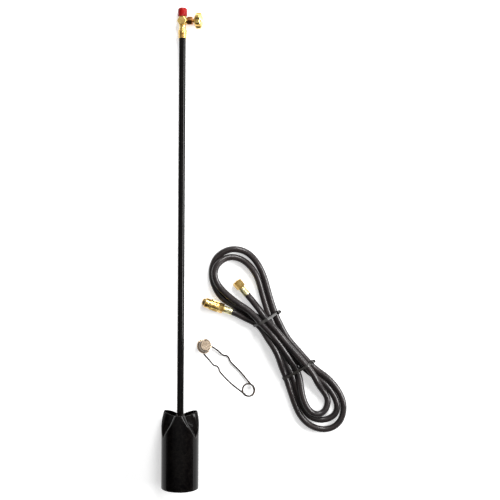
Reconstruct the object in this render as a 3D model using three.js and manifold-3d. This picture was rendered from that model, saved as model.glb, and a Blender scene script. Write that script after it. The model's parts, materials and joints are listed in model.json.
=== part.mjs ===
// A propane torch laid down with its loose kit: the gas hose in a tied hank and a flint striker.
// Millimetres, +Z up. The wand lies along +Y with its bell at the -Y end and the valve at the +Y end.
import * as THREE from "three";
import { mergeVertices } from "three/addons/utils/BufferGeometryUtils.js";
import Module from "manifold-3d";

const wasm = await Module();
wasm.setup();

const degrees = Math.PI / 180;
const clearance = 0.3; // between pieces that touch

// Bell: one steel tube whose rear end is pressed onto the wand in three places.
const bellRadius = 38;
const bellLength = 154.8;
const bellWall = 1.6;
const crimpLength = 50.4;
const crimpPull = 8; // the pressed places are drawn forward as they are bent inwards
const lobes = 3;
const weldLength = 3.6;
const weldThickness = 2.2;
const weldGap = 0.8; // clears the rim beside the pressed place

// Wand: a length of quarter-inch pipe.
const wandRadius = 6.85;
const wandBore = 4.6;
const wandLength = 780;
const wandInBell = 24;

// Gas jet in the inner end of the wand.
const jetFlats = 14;
const jetHeadLength = 12;
const jetShankLength = 10;
const jetGallery = 1.6;
const orificeRadius = 3.2;
const orificeLength = 6;
const orificeHole = 0.45;

// Coupling between wand and valve.
const couplingLength = 16;
const couplingRadius = 7.9;
const collarRadius = 8.5;
const collarLength = 8;
const tubeInsertion = 9.4;

// Valve.
const spigotRadius = 4.4;
const neckRadius = 6.6;
const neckLength = 9;
const blockAcross = 20; // across the corners
const blockThickness = 16;
const inletRadius = 7.1;
const inletLength = 12.8;
const inletBore = 3.4;
const inletSeatLength = 4;
const inletLip = 1;
const inletBoreDepth = 7;
const blockBevel = 1.5;
const gasBore = 1.8;
const screenThickness = 1;
const screenHole = 0.8;
const bonnetReach = 16; // from the wand's axis
const bonnetWall = 1.4;
const packingNutFlats = 15;
const packingNutLength = 10;
const packingRadius = 4.6;
const packingLength = 4;
const stemRadius = 2.8;
const stemReach = 37; // from the wand's axis to the end of the stem
const needleLength = 4;
const needleTip = 0.6;
const driveRadius = 2.1; // the thinner end that carries the knob
const driveStep = 2; // how far inside the hub the stem gets thinner

// Knob with six rounded lobes.
const knobRadius = 15.9;
const knobLobes = 6;
const knobScallop = 2.7;
const knobStart = 23; // from the wand's axis
const knobThickness = 12.6;
const knobHubRadius = 6.5;
const knobHubLength = 3;
const knobBevel = 2.6;
const screwHeadRadius = 4.2;
const screwHeadLength = 2.4;
const screwSlot = 1;
const knobDishShare = 0.62;

// Plastic cap over the inlet thread.
const capWall = 1.6;
const capLength = 17;
const capDome = 5;

// Hose and its fittings.
const hoseRadius = 6.5;
const hankHeight = 24.4; // two layers, the upper in the grooves of the lower
const tieThickness = 1.3;
const tieWidth = 5.4;
const tieHead = 6;
const tieBevel = 3;
const tieTail = 4;
const tieTailThickness = 1.2;
const upperTiePlace = [-29.6, 54];
const upperTieTurn = 30 * degrees;
const upperTieWidth = 56;
const lowerTiePlace = [38.9, -49.1];
const lowerTieTurn = 32 * degrees;
const lowerTieWidth = 68.4;
const ferruleRadius = 7.1;
const ferruleLength = 18;
const nippleRadius = 3.2;
const nippleBore = 2;
const flareNutFlats = 17;
const flareNutLength = 16;
const flareSeatRadius = 6.6;
const flareSeatDepth = 6;
const flareFlange = 2;
const flareCone = 5.5;
const nippleInset = 1; // the nipple's inner end, inside the ferrule
const polHexFlats = 18;
const polHexLength = 10;
const polNutRadius = 11;
const polNutLength = 30;
const polNutFlutes = 8;
const polShankRadius = 5.4;
const polNoseRadius = 7.4;
const polNoseLength = 9;
const noseRingRadius = 0.9;
const noseGroove = 5.5; // from the foot of the nose
const noseGrooveHalf = 1.2;
const noseGrooveDepth = 1.5;
const polNutMouth = 4;
const polNutBand = 11; // the smooth band at the nut's end
const polFluteRadius = 2;
const polFluteProud = 0.9;

// Striker.
const wireRadius = 1.6;
const coilRadius = 12.6;
const coilTurns = 1.5;
const coilPitch = 2 * wireRadius + clearance;
const cupRadius = 12;
const cupDraft = 1.4;
const cupFlange = 15.5;
const cupDepth = 13;
const cupWall = 0.9;
const fileRadius = 9.5;
const fileThickness = 1;
const flintRadius = 2;
const flintLength = 3.2;
const holderRadius = 4;
const strikerLean = 24 * degrees;

// Where the loose pieces lie, from the middle of the bell's mouth.
const hankPlace = [199, 287];
const strikerPlace = [136.3, 195];
const strikerTurn = 133.8 * degrees;

const finishes = {
  enamel: new THREE.MeshStandardMaterial({ color: 0x17181a, roughness: 0.3, metalness: 0.3 }),
  weld: new THREE.MeshStandardMaterial({ color: 0x1d1c1c, roughness: 0.5, metalness: 0.3 }),
  brass: new THREE.MeshStandardMaterial({ color: 0xd9b25a, roughness: 0.25, metalness: 1 }),
  zinc: new THREE.MeshStandardMaterial({ color: 0xd8d3b0, roughness: 0.35, metalness: 1 }),
  steel: new THREE.MeshStandardMaterial({ color: 0xb9b4ab, roughness: 0.3, metalness: 1 }),
  red: new THREE.MeshStandardMaterial({ color: 0xc31d1a, roughness: 0.4, metalness: 0 }),
  rubber: new THREE.MeshStandardMaterial({ color: 0x35323a, roughness: 0.55, metalness: 0 }),
  seal: new THREE.MeshStandardMaterial({ color: 0x161616, roughness: 0.7, metalness: 0 }),
  nylon: new THREE.MeshStandardMaterial({ color: 0x3a3c36, roughness: 0.5, metalness: 0 }),
  flint: new THREE.MeshStandardMaterial({ color: 0x4b4a4c, roughness: 0.8, metalness: 0.2 }),
};

function mesh(name, geometry, finish) {
  const made = new THREE.Mesh(geometry, finishes[finish]);
  made.name = name;
  return made;
}

function group(parent, position = [0, 0, 0], rotation = [0, 0, 0]) {
  const made = new THREE.Group();
  made.position.set(...position);
  made.rotation.set(...rotation);
  parent.add(made);
  return made;
}

function vectors(pairs) {
  return pairs.map(([x, y]) => new THREE.Vector2(x, y));
}

// A solid turned about Y. The profile runs from the axis at the low end, out and up, back to the axis.
function turned(profile, segments = 24) {
  return new THREE.LatheGeometry(vectors(profile), segments);
}

// A turned piece with a hole through it: the outer line runs up and the bore closes it.
function turnedTube(outline, segments = 24) {
  return turned([...outline, outline[0]], segments);
}

// A shape extruded along +Y, starting at the given height.
function standing(shape, start, length, bevel = 0, curveSegments = 12) {
  const geometry = new THREE.ExtrudeGeometry(shape, {
    depth: length - 2 * bevel,
    bevelEnabled: bevel > 0,
    bevelThickness: bevel,
    bevelSize: bevel,
    bevelOffset: -bevel,
    bevelSegments: 2,
    curveSegments,
  });
  return geometry.translate(0, 0, bevel).rotateX(-Math.PI / 2).translate(0, start, 0);
}

// A hexagon's radius to its corners.
function hexCorner(acrossFlats) {
  return acrossFlats / 2 / Math.cos(Math.PI / 6);
}

function hexagon(acrossFlats, turn = 0) {
  const corner = hexCorner(acrossFlats);
  const points = [];
  for (let i = 0; i < 6; i += 1) {
    const angle = (i * Math.PI) / 3 + turn;
    points.push([corner * Math.cos(angle), corner * Math.sin(angle)]);
  }
  return new THREE.Shape(vectors(points));
}

// A geometry as a manifold-3d solid.
function solid(geometry) {
  const plain = new THREE.BufferGeometry();
  plain.setAttribute("position", geometry.getAttribute("position").clone());
  if (geometry.index) plain.setIndex(geometry.index.clone());
  const merged = mergeVertices(plain, 1e-4);
  return new wasm.Manifold(
    new wasm.Mesh({
      numProp: 3,
      vertProperties: merged.attributes.position.array,
      triVerts: new Uint32Array(merged.index.array),
    }),
  );
}

// A manifold-3d solid as a geometry with flat faces.
function geometryOf(made) {
  const { vertProperties, triVerts } = made.getMesh();
  const indexed = new THREE.BufferGeometry();
  indexed.setAttribute("position", new THREE.BufferAttribute(vertProperties, 3));
  indexed.setIndex(new THREE.BufferAttribute(triVerts, 1));
  const geometry = indexed.toNonIndexed();
  geometry.computeVertexNormals();
  return geometry;
}

function cut(geometry, ...tools) {
  return geometryOf(tools.reduce((left, tool) => left.subtract(solid(tool)), solid(geometry)));
}

function joined(first, ...others) {
  return geometryOf(others.reduce((whole, other) => whole.add(solid(other)), solid(first)));
}

function common(first, second) {
  return geometryOf(solid(first).intersect(solid(second)));
}

// A plain round rod on Y, used as a piece and as a drill.
function rod(radius, start, end, segments = 24) {
  return turned([[0, start], [radius, start], [radius, end], [0, end]], segments);
}

// A hexagon bar whose corners are turned off at both ends.
function hexBar(acrossFlats, start, length, turn = 0) {
  const corner = hexCorner(acrossFlats);
  const chamfer = corner - acrossFlats / 2;
  const end = start + length;
  const blank = turned(
    [
      [0, start],
      [corner - chamfer, start],
      [corner, start + chamfer / 2],
      [corner, end - chamfer / 2],
      [corner - chamfer, end],
      [0, end],
    ],
    36,
  );
  return common(standing(hexagon(acrossFlats, turn), start - 1, length + 2), blank);
}

// ---------------------------------------------------------------- bell

// How far the tube is pressed in at an angle from the middle of a lobe, from 0 to 1. A pressed place
// starts narrow and widens along the tube until it meets the next.
function pressedShare(angle, along) {
  const half = Math.PI / lobes;
  const turned = Math.abs((((angle % (2 * half)) + 2 * half) % (2 * half)) - half);
  const across = Math.min(1, turned / Math.max(half * along, 1e-6));
  return (1 + Math.cos(Math.PI * across)) / 2;
}

// The section's radius there.
function bellSection(angle, along, seat) {
  const depth = along * along * (3 - 2 * along) * 0.4 + along * 0.6;
  return bellRadius - depth * (bellRadius - seat) * pressedShare(angle, along);
}

function bell(twist) {
  const columns = 96;
  const rows = 9;
  const seat = wandRadius + clearance + bellWall;
  const start = bellLength - crimpLength;
  const heights = [0, start * 0.5];
  for (let i = 0; i <= rows; i += 1) heights.push(start + (crimpLength * i) / rows);
  const outside = heights.map((y) => [bellRadius, y]);
  const inside = [...heights].reverse().map((y) => [bellRadius - bellWall, y]);
  const geometry = turnedTube([...outside, ...inside], columns);
  const place = geometry.getAttribute("position");
  for (let i = 0; i < place.count; i += 1) {
    const x = place.getX(i);
    const y = place.getY(i);
    const z = place.getZ(i);
    const along = Math.max(0, (y - start) / crimpLength);
    const angle = Math.atan2(x, z);
    const radius = bellSection(angle, along, seat);
    const slope = (bellSection(angle + 1e-4, along, seat) - bellSection(angle - 1e-4, along, seat)) / 2e-4;
    const inset = Math.hypot(x, z) < bellRadius - bellWall / 2 ? bellWall : 0;
    const length = Math.hypot(radius, slope);
    const outward = radius - (inset * radius) / length;
    const sideways = (inset * slope) / length;
    const turn = angle + twist;
    place.setXYZ(
      i,
      outward * Math.sin(turn) + sideways * Math.cos(turn),
      y - crimpPull * along * along * pressedShare(angle, along),
      outward * Math.cos(turn) - sideways * Math.sin(turn),
    );
  }
  return geometry;
}

// A weld bead lies along the wand at the rear edge of the bell, over each pressed place.
function weldBead(angle) {
  const inner = wandRadius + clearance;
  const outer = inner + weldThickness;
  const half = 24 * degrees;
  const shape = new THREE.Shape();
  shape.absarc(0, 0, outer, angle - half, angle + half, false);
  shape.absarc(0, 0, inner, angle + half, angle - half, true);
  return standing(shape, bellLength - crimpPull + weldGap, weldLength, 0.4, 6);
}

// ---------------------------------------------------------------- torch

const wandStart = bellLength - wandInBell;
const wandEnd = wandStart + wandLength;
const couplingStart = wandEnd - tubeInsertion;
const couplingEnd = couplingStart + couplingLength;
const neckStart = couplingEnd + clearance;
const blockCentre = neckStart + neckLength + (blockAcross / 2) * Math.cos(Math.PI / 6);
const blockEnd = blockCentre + (blockAcross / 2) * Math.cos(Math.PI / 6);
const capRadius = inletRadius + clearance + capWall;
const bonnetRadius = packingRadius + clearance + bonnetWall;
const packingNutStart = blockAcross / 2 + clearance;
const knobReach = knobRadius * Math.cos(Math.PI / knobLobes);

function jetHolder() {
  const head = hexBar(jetFlats, wandStart - clearance - jetHeadLength, jetHeadLength);
  const shank = rod(wandBore - clearance, wandStart - 1, wandStart + jetShankLength, 24);
  const socket = rod(
    orificeRadius + clearance,
    wandStart - jetHeadLength - 2,
    wandStart - jetHeadLength - clearance + orificeLength,
    24,
  );
  const gallery = rod(jetGallery, wandStart - jetHeadLength - 1, wandStart + jetShankLength + 1, 16);
  return cut(joined(head, shank), socket, gallery);
}

function jetOrifice() {
  const start = wandStart - jetHeadLength - clearance;
  const end = start + orificeLength - clearance;
  return turnedTube(
    [
      [orificeHole, start],
      [orificeRadius, start],
      [orificeRadius, end],
      [jetGallery, end],
      [orificeHole, end - 1.5],
    ],
    24,
  );
}

function coupling() {
  const bore = wandRadius + clearance;
  const step = wandEnd + clearance;
  return turnedTube([
    [bore, couplingStart],
    [couplingRadius, couplingStart],
    [couplingRadius, couplingEnd - collarLength],
    [collarRadius, couplingEnd - collarLength + 0.6],
    [collarRadius, couplingEnd - 0.8],
    [collarRadius - 0.8, couplingEnd],
    [spigotRadius + clearance, couplingEnd],
    [spigotRadius + clearance, step],
    [bore, step],
  ]);
}

function valveBody() {
  const block = hexagon(blockAcross * Math.cos(Math.PI / 6));
  const forged = new THREE.ExtrudeGeometry(block, {
    depth: blockThickness - 2 * blockBevel,
    bevelThickness: blockBevel,
    bevelSize: blockBevel,
    bevelOffset: -blockBevel,
    bevelSegments: 2,
  }).translate(0, blockCentre, blockBevel - blockThickness / 2);
  const inletEnd = blockEnd + inletLength;
  const line = turned([
    [0, wandEnd + 2 * clearance],
    [spigotRadius, wandEnd + 2 * clearance],
    [spigotRadius, neckStart],
    [neckRadius, neckStart],
    [neckRadius, blockCentre],
    [inletRadius, blockCentre],
    [inletRadius, inletEnd - inletSeatLength],
    [inletBore + inletLip, inletEnd],
    [0, inletEnd],
  ]);
  const boss = rod(bonnetRadius, 0, bonnetReach).rotateZ(-Math.PI / 2).translate(0, blockCentre, 0);
  const stuffingBox = rod(packingRadius + clearance, bonnetReach - packingLength, bonnetReach + 1);
  const stemBore = turned([
    [0, 0],
    [needleTip + clearance, 0],
    [needleTip + clearance, gasBore],
    [stemRadius + clearance, gasBore + needleLength],
    [stemRadius + clearance, bonnetReach + 1],
    [0, bonnetReach + 1],
  ]);
  const sideways = (drill) => drill.rotateZ(-Math.PI / 2).translate(0, blockCentre, 0);
  return cut(
    joined(line, forged, boss),
    sideways(stuffingBox),
    sideways(stemBore),
    rod(gasBore, wandEnd, blockCentre, 16),
    rod(gasBore, blockCentre - 0.5, inletEnd + 1, 16),
    rod(inletBore, inletEnd - inletBoreDepth, inletEnd + 1, 24),
  );
}

function packingNut() {
  const nut = hexBar(packingNutFlats, packingNutStart, packingNutLength, Math.PI / 6);
  const bore = rod(bonnetRadius + clearance, packingNutStart - 1, bonnetReach + clearance);
  const hole = rod(stemRadius + clearance, packingNutStart, packingNutStart + packingNutLength + 1);
  return cut(nut, bore, hole);
}

function packing() {
  const start = bonnetReach - packingLength + clearance;
  return turnedTube([
    [stemRadius + clearance, start],
    [packingRadius, start],
    [packingRadius, start + packingLength - 2 * clearance],
    [stemRadius + clearance, start + packingLength - 2 * clearance],
  ]);
}

function valveStem() {
  const step = knobStart + driveStep;
  return turned([
    [0, gasBore + clearance],
    [needleTip, gasBore + clearance],
    [stemRadius, gasBore + clearance + needleLength],
    [stemRadius, step],
    [driveRadius, step],
    [driveRadius, stemReach],
    [0, stemReach],
  ]);
}

function knob() {
  const outline = new THREE.Shape();
  const points = 12 * knobLobes;
  for (let i = 0; i < points; i += 1) {
    const angle = (i * 2 * Math.PI) / points;
    const valley = (1 - Math.cos(knobLobes * angle)) / 2;
    const radius = knobRadius - knobScallop * valley * valley;
    const [x, y] = [radius * Math.cos(angle), radius * Math.sin(angle)];
    if (i === 0) outline.moveTo(x, y);
    else outline.lineTo(x, y);
  }
  const body = standing(outline, knobStart + knobHubLength, knobThickness, knobBevel);
  const hub = rod(knobHubRadius, knobStart, knobStart + knobHubLength + 3);
  const end = knobStart + knobHubLength + knobThickness;
  const dish = turned([
    [0, stemReach + clearance],
    [screwHeadRadius + 1, stemReach + clearance],
    [knobRadius * knobDishShare, end + 0.5],
    [0, end + 0.5],
  ]);
  const stemHole = rod(stemRadius + clearance, knobStart - 1, knobStart + driveStep + clearance);
  const driveHole = rod(driveRadius + clearance, knobStart, end);
  return cut(joined(body, hub), dish, stemHole, driveHole);
}

function knobScrew() {
  const start = stemReach + clearance + 0.1;
  const head = turned([
    [0, start],
    [screwHeadRadius, start],
    [screwHeadRadius, start + screwHeadLength * 0.5],
    [screwHeadRadius * 0.6, start + screwHeadLength],
    [0, start + screwHeadLength],
  ]);
  const slot = new THREE.BoxGeometry(2 * screwHeadRadius + 1, screwSlot, screwSlot);
  slot.translate(0, start + screwHeadLength, 0);
  return cut(head, slot);
}

function inletCap() {
  const start = blockEnd + clearance;
  const end = start + capLength;
  const inner = inletRadius + clearance;
  const profile = [
    [inner, start],
    [capRadius, start],
    [capRadius, end - capDome],
  ];
  for (let i = 1; i <= 5; i += 1) {
    const angle = (i * Math.PI) / 10;
    const radius = capRadius * (0.35 + 0.65 * Math.cos(angle));
    profile.push([radius, end - capDome + capDome * Math.sin(angle)]);
  }
  profile.push([0, end]);
  const roof = end - capWall;
  return turned([[0, roof], [inner * 0.5, roof], [inner, end - capDome], ...profile]);
}

function inletScreen() {
  const start = blockEnd + inletLength - inletBoreDepth + clearance;
  return turnedTube(
    [
      [screenHole, start],
      [inletBore - clearance, start],
      [inletBore - clearance, start + screenThickness],
      [screenHole, start + screenThickness],
    ],
    24,
  );
}

// The torch lies on the flank of its bell, on its cap and on the rim of its knob.
const knobFoot = knobStart + knobHubLength + knobBevel;
const roll = Math.atan2(knobReach, knobFoot) - Math.asin(capRadius / Math.hypot(knobReach, knobFoot));
const capFoot = blockEnd + clearance + capLength - capDome;
const bellFoot = bellLength - crimpLength;
const pitch = Math.asin((bellRadius - capRadius) / (capFoot - bellFoot));

function torch() {
  const lying = new THREE.Group();
  lying.rotation.x = -pitch;
  const body = group(lying, [0, 0, 0], [0, -roll, 0]);
  body.add(mesh("bell", bell(roll), "enamel"));
  for (let i = 0; i < lobes; i += 1) {
    const angle = Math.PI / 2 + (2 * i * Math.PI) / lobes + roll;
    body.add(mesh(`bell_weld_${i + 1}`, weldBead(angle), "weld"));
  }
  const wall = turnedTube([
    [wandBore, wandStart],
    [wandRadius, wandStart],
    [wandRadius, wandEnd],
    [wandBore, wandEnd],
  ]);
  body.add(mesh("wand_tube", wall, "enamel"));
  body.add(mesh("jet_holder", jetHolder(), "brass"));
  body.add(mesh("jet_orifice", jetOrifice(), "brass"));
  body.add(mesh("wand_coupling", coupling(), "brass"));
  body.add(mesh("valve_body", valveBody(), "brass"));
  body.add(mesh("inlet_screen", inletScreen(), "steel"));
  body.add(mesh("inlet_cap", inletCap(), "red"));
  const spindle = group(body, [0, blockCentre, 0], [0, 0, -Math.PI / 2]);
  spindle.name = "spindle";
  spindle.add(mesh("packing_nut", packingNut(), "brass"));
  spindle.add(mesh("stem_packing", packing(), "seal"));
  spindle.add(mesh("valve_stem", valveStem(), "brass"));
  spindle.add(mesh("valve_knob", knob(), "brass"));
  spindle.add(mesh("knob_screw", knobScrew(), "steel"));
  return lying;
}

// ---------------------------------------------------------------- hose

// A smooth closed run of a shape through hand-chosen points, after the corners that start it.
function outlineOf(corners, curve) {
  const outline = new THREE.Shape();
  outline.moveTo(...corners[0]);
  corners.slice(1).forEach((corner) => outline.lineTo(...corner));
  outline.splineThru(vectors([...curve, corners[0]]));
  return outline;
}

// The hank seen from above, from its middle. Each end of the hose leaves it straight, towards its fitting.
const supplyExit = new THREE.Vector2(-96.5, 69);
const supplySide = new THREE.Vector2(-0.945, 0.327).normalize();
const supplyHeight = polNutRadius;
const torchExit = new THREE.Vector2(-45.7, 79.3);
const torchSide = new THREE.Vector2(-0.64, 0.768).normalize();
const torchHeight = flareNutFlats / 2;
const torchRun = 32;

// The two corners of the hose's end, seen from above, to the left and the right of its middle.
function endCorners(exit, side) {
  const across = new THREE.Vector2(side.y, -side.x).multiplyScalar(hoseRadius);
  return [exit.clone().sub(across).toArray(), exit.clone().add(across).toArray()];
}

const supplyEnd = endCorners(supplyExit, supplySide);
const torchEnd = endCorners(torchExit, torchSide);

function hank() {
  const outline = outlineOf(
    supplyEnd,
    [
      [-105, 82],
      [-124, 92],
      [-140, 123],
      [-145, 142],
      [-143, 158],
      [-137, 175],
      [-126, 190],
      [-111, 200],
      [-93, 204],
      [-69, 199],
      [-53, 187],
      [-40, 171],
      [-30, 152],
      [-19, 108],
      [-4, 62],
      [16, 22],
      [39, -3],
      [67, -32],
      [104, -64],
      [124, -87],
      [136, -107],
      [140, -128],
      [138, -147],
      [128, -165],
      [110, -177],
      [87, -180],
      [64, -173],
      [44, -155],
      [32, -132],
      [11, -67],
      [-10, -12],
      [-33, 21],
      [-50, 38.5],
      [-75, 55],
    ],
  );
  const upperLoop = outlineOf(
    torchEnd,
    [
      [-37, 96],
      [-48, 132],
      [-56, 146],
      [-67, 161],
      [-80, 172],
      [-93, 175],
      [-108, 173],
      [-120, 166],
      [-128, 157],
      [-127, 142],
      [-122, 129],
      [-111, 114],
      [-92, 98],
      [-74, 85],
      [-62, 78],
    ],
  );
  const lowerLoop = outlineOf(
    [[46, -54]],
    [
      [67, -66],
      [84, -87],
      [90, -96],
      [94, -112],
      [93, -124],
      [87, -135],
      [79, -140],
      [72, -137],
      [62, -124],
      [54, -106],
      [49, -87],
    ],
  );
  const bevel = 3;
  const bundle = new THREE.ExtrudeGeometry(outline, {
    depth: hankHeight - 2 * bevel,
    bevelThickness: bevel,
    bevelSize: bevel,
    bevelOffset: -bevel,
    bevelSegments: 1,
    curveSegments: 3,
  }).translate(0, 0, bevel);
  const openings = [upperLoop, lowerLoop].map((loop) =>
    new THREE.ExtrudeGeometry(loop, {
      depth: hankHeight + 2,
      bevelEnabled: false,
      curveSegments: 3,
    }).translate(0, 0, -1),
  );
  return cut(bundle, ...openings).translate(0, 0, tieThickness + clearance);
}

// The room that a fitting takes, so that the hank stays clear of it.
function sleeve(exit, side, height, radius, start, length) {
  return rod(radius + clearance, start, start + length)
    .rotateZ(side.angle() - Math.PI / 2)
    .translate(exit.x, exit.y, height);
}

// A tie is a band round the bundle with its head and a short trimmed tail at one end.
function tie(width) {
  const inner = width / 2;
  const outer = inner + tieThickness;
  const top = tieThickness + 2 * clearance + hankHeight;
  const crown = top + tieThickness;
  const headFoot = crown - tieHead - 2;
  const headEnd = outer + tieHead;
  const tailTop = crown - tieThickness;
  const corner = tieBevel - 1;
  const band = new THREE.Shape(
    vectors([
      [-outer + tieBevel, 0],
      [outer - tieBevel, 0],
      [outer, tieBevel],
      [outer, headFoot],
      [headEnd, headFoot],
      [headEnd, tailTop - tieTailThickness],
      [headEnd + tieTail, tailTop - tieTailThickness],
      [headEnd + tieTail, tailTop],
      [headEnd, tailTop],
      [outer, crown],
      [-outer + tieBevel, crown],
      [-outer, crown - tieBevel],
      [-outer, tieBevel],
    ]),
  );
  const inside = new THREE.Path(
    vectors([
      [-inner + corner, tieThickness],
      [-inner, tieThickness + corner],
      [-inner, top - corner],
      [-inner + corner, top],
      [inner - corner, top],
      [inner, top - corner],
      [inner, tieThickness + corner],
      [inner - corner, tieThickness],
    ]),
  );
  band.holes = [inside];
  const geometry = new THREE.ExtrudeGeometry(band, { depth: tieWidth, bevelEnabled: false });
  return geometry.translate(0, 0, -tieWidth / 2).rotateX(Math.PI / 2);
}

// Both ends of the hose carry a crimped ferrule; each fitting runs along +Y, away from the hose.
function ferrule() {
  return turnedTube([
    [nippleRadius + clearance, 0],
    [ferruleRadius - 0.8, 0],
    [ferruleRadius, 0.8],
    [ferruleRadius, ferruleLength - 3],
    [ferruleRadius - 0.8, ferruleLength - 2],
    [ferruleRadius - 0.8, ferruleLength],
    [nippleRadius + clearance, ferruleLength],
  ]);
}

const flareNutStart = ferruleLength + clearance;
const flareSeat = flareNutStart + flareSeatDepth;

function flareNipple() {
  return turnedTube([
    [nippleBore, nippleInset],
    [nippleRadius, nippleInset],
    [nippleRadius, flareSeat],
    [flareSeatRadius, flareSeat + 0.6],
    [flareSeatRadius, flareSeat + flareFlange],
    [nippleBore + 1, flareSeat + flareCone],
    [nippleBore, flareSeat + flareCone],
  ]);
}

function flareNut() {
  const bar = hexBar(flareNutFlats, flareNutStart, flareNutLength);
  const hole = rod(nippleRadius + clearance, flareNutStart - 1, flareNutStart + flareNutLength, 24);
  const thread = rod(
    flareSeatRadius + 2 * clearance,
    flareSeat - clearance,
    flareNutStart + flareNutLength + 1,
  );
  return cut(bar, hole, thread);
}

const polHexStart = ferruleLength + clearance;
const polNutStart = polHexStart + polHexLength + clearance;
const polNoseStart = polNutStart + polNutLength - polNutMouth;

function polNipple() {
  const hex = hexBar(polHexFlats, polHexStart, polHexLength);
  const groove = polNoseStart + noseGroove;
  const stem = turned([
    [0, nippleInset],
    [nippleRadius, nippleInset],
    [nippleRadius, polHexStart + 1],
    [polShankRadius, polHexStart + 1],
    [polShankRadius, polNoseStart],
    [polNoseRadius, polNoseStart + 0.6],
    [polNoseRadius, groove - noseGrooveHalf],
    [polNoseRadius - noseGrooveDepth, groove - noseGrooveHalf],
    [polNoseRadius - noseGrooveDepth, groove + noseGrooveHalf],
    [polNoseRadius - 0.6, groove + noseGrooveHalf],
    [polNoseRadius - 2, polNoseStart + polNoseLength],
    [0, polNoseStart + polNoseLength],
  ]);
  const bore = rod(nippleBore, 0, polNoseStart + polNoseLength + 1, 16);
  return cut(joined(hex, stem), bore);
}

function polNoseRing() {
  const centre = polNoseRadius - noseGrooveDepth + clearance + noseRingRadius;
  const section = new THREE.EllipseCurve(
    centre,
    polNoseStart + noseGroove,
    noseRingRadius,
    noseRingRadius,
    0,
    2 * Math.PI,
  );
  return new THREE.LatheGeometry(section.getPoints(6), 24);
}

function polNut() {
  const end = polNutStart + polNutLength;
  const blank = turned([
    [0, polNutStart],
    [polNutRadius - 1, polNutStart],
    [polNutRadius, polNutStart + 1],
    [polNutRadius, end - polNutBand - 1],
    [polNutRadius - 1.2, end - polNutBand],
    [polNutRadius - 1.2, end - 2],
    [polNutRadius - 3, end],
    [0, end],
  ]);
  const flutes = [];
  for (let i = 0; i < polNutFlutes; i += 1) {
    const angle = ((i + 0.5) * 2 * Math.PI) / polNutFlutes;
    const place = polNutRadius + polFluteProud;
    const flute = rod(polFluteRadius, polNutStart - 1, end - polNutBand - 2, 12);
    flutes.push(flute.translate(place * Math.cos(angle), 0, place * Math.sin(angle)));
  }
  const shankHole = rod(polShankRadius + clearance, polNutStart - 1, polNoseStart);
  const mouth = rod(polNoseRadius + clearance, polNoseStart - clearance, end + 1);
  return cut(blank, ...flutes, shankHole, mouth);
}

// A plain tube for the hose between the hank and a fitting.
function hoseRun(from, to) {
  const path = new THREE.LineCurve3(new THREE.Vector3(...from), new THREE.Vector3(...to));
  const section = new THREE.Shape();
  section.absarc(0, 0, hoseRadius, 0, 2 * Math.PI, false);
  return new THREE.ExtrudeGeometry(section, { steps: 2, curveSegments: 6, extrudePath: path });
}

function hoseSet() {
  const set = new THREE.Group();
  set.position.set(...hankPlace, 0);
  const ferruleFoot = torchExit.clone().addScaledVector(torchSide, torchRun + 2 * clearance);
  const supplyFoot = supplyExit.clone().addScaledVector(supplySide, clearance);
  const supplyReach = polHexLength + clearance + polNutLength;
  const flareCorner = hexCorner(flareNutFlats);
  const fittings = [
    sleeve(supplyFoot, supplySide, supplyHeight, ferruleRadius, 0, ferruleLength),
    sleeve(supplyFoot, supplySide, supplyHeight, polNutRadius, polHexStart, supplyReach),
    sleeve(ferruleFoot, torchSide, torchHeight, ferruleRadius, 0, ferruleLength),
    sleeve(ferruleFoot, torchSide, torchHeight, flareCorner, flareNutStart, flareNutLength),
  ];
  set.add(mesh("hose_hank", cut(hank(), ...fittings), "rubber"));
  const upperTie = group(set, [...upperTiePlace, 0], [0, 0, upperTieTurn]);
  upperTie.add(mesh("tie_upper", tie(upperTieWidth), "nylon"));
  const lowerTie = group(set, [...lowerTiePlace, 0], [0, 0, lowerTieTurn]);
  lowerTie.add(mesh("tie_lower", tie(lowerTieWidth), "nylon"));

  const leave = torchExit.clone().addScaledVector(torchSide, clearance);
  const arrive = leave.clone().addScaledVector(torchSide, torchRun);
  const run = hoseRun([leave.x, leave.y, torchHeight], [arrive.x, arrive.y, torchHeight]);
  set.add(mesh("hose_run", run, "rubber"));
  const flare = group(
    set,
    [ferruleFoot.x, ferruleFoot.y, torchHeight],
    [0, 0, torchSide.angle() - Math.PI / 2],
  );
  flare.name = "flare_end";
  flare.add(mesh("flare_ferrule", ferrule(), "zinc"));
  flare.add(mesh("flare_nipple", flareNipple(), "brass"));
  flare.add(mesh("flare_nut", flareNut(), "brass"));

  const supply = group(
    set,
    [supplyFoot.x, supplyFoot.y, supplyHeight],
    [0, 0, supplySide.angle() - Math.PI / 2],
  );
  supply.name = "supply_end";
  supply.add(mesh("pol_ferrule", ferrule(), "zinc"));
  supply.add(mesh("pol_nipple", polNipple(), "brass"));
  supply.add(mesh("pol_nose_ring", polNoseRing(), "seal"));
  supply.add(mesh("pol_nut", polNut(), "brass"));
  return set;
}

// ---------------------------------------------------------------- striker

// Wire bent along a run of points, as one closed solid.
function wire(points, steps) {
  const path = new THREE.CatmullRomCurve3(
    points.map((point) => new THREE.Vector3(...point)),
    false,
    "centripetal",
  );
  const section = new THREE.Shape();
  section.absarc(0, 0, wireRadius, 0, 2 * Math.PI, false);
  return new THREE.ExtrudeGeometry(section, { steps, curveSegments: 4, extrudePath: path });
}

const cupCentre = [127.6, 3.5];
const armRise = coilTurns * coilPitch;
const flangeHeight = armRise - wireRadius - clearance - cupWall;
const crownHeight = flangeHeight + cupDepth;

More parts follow.
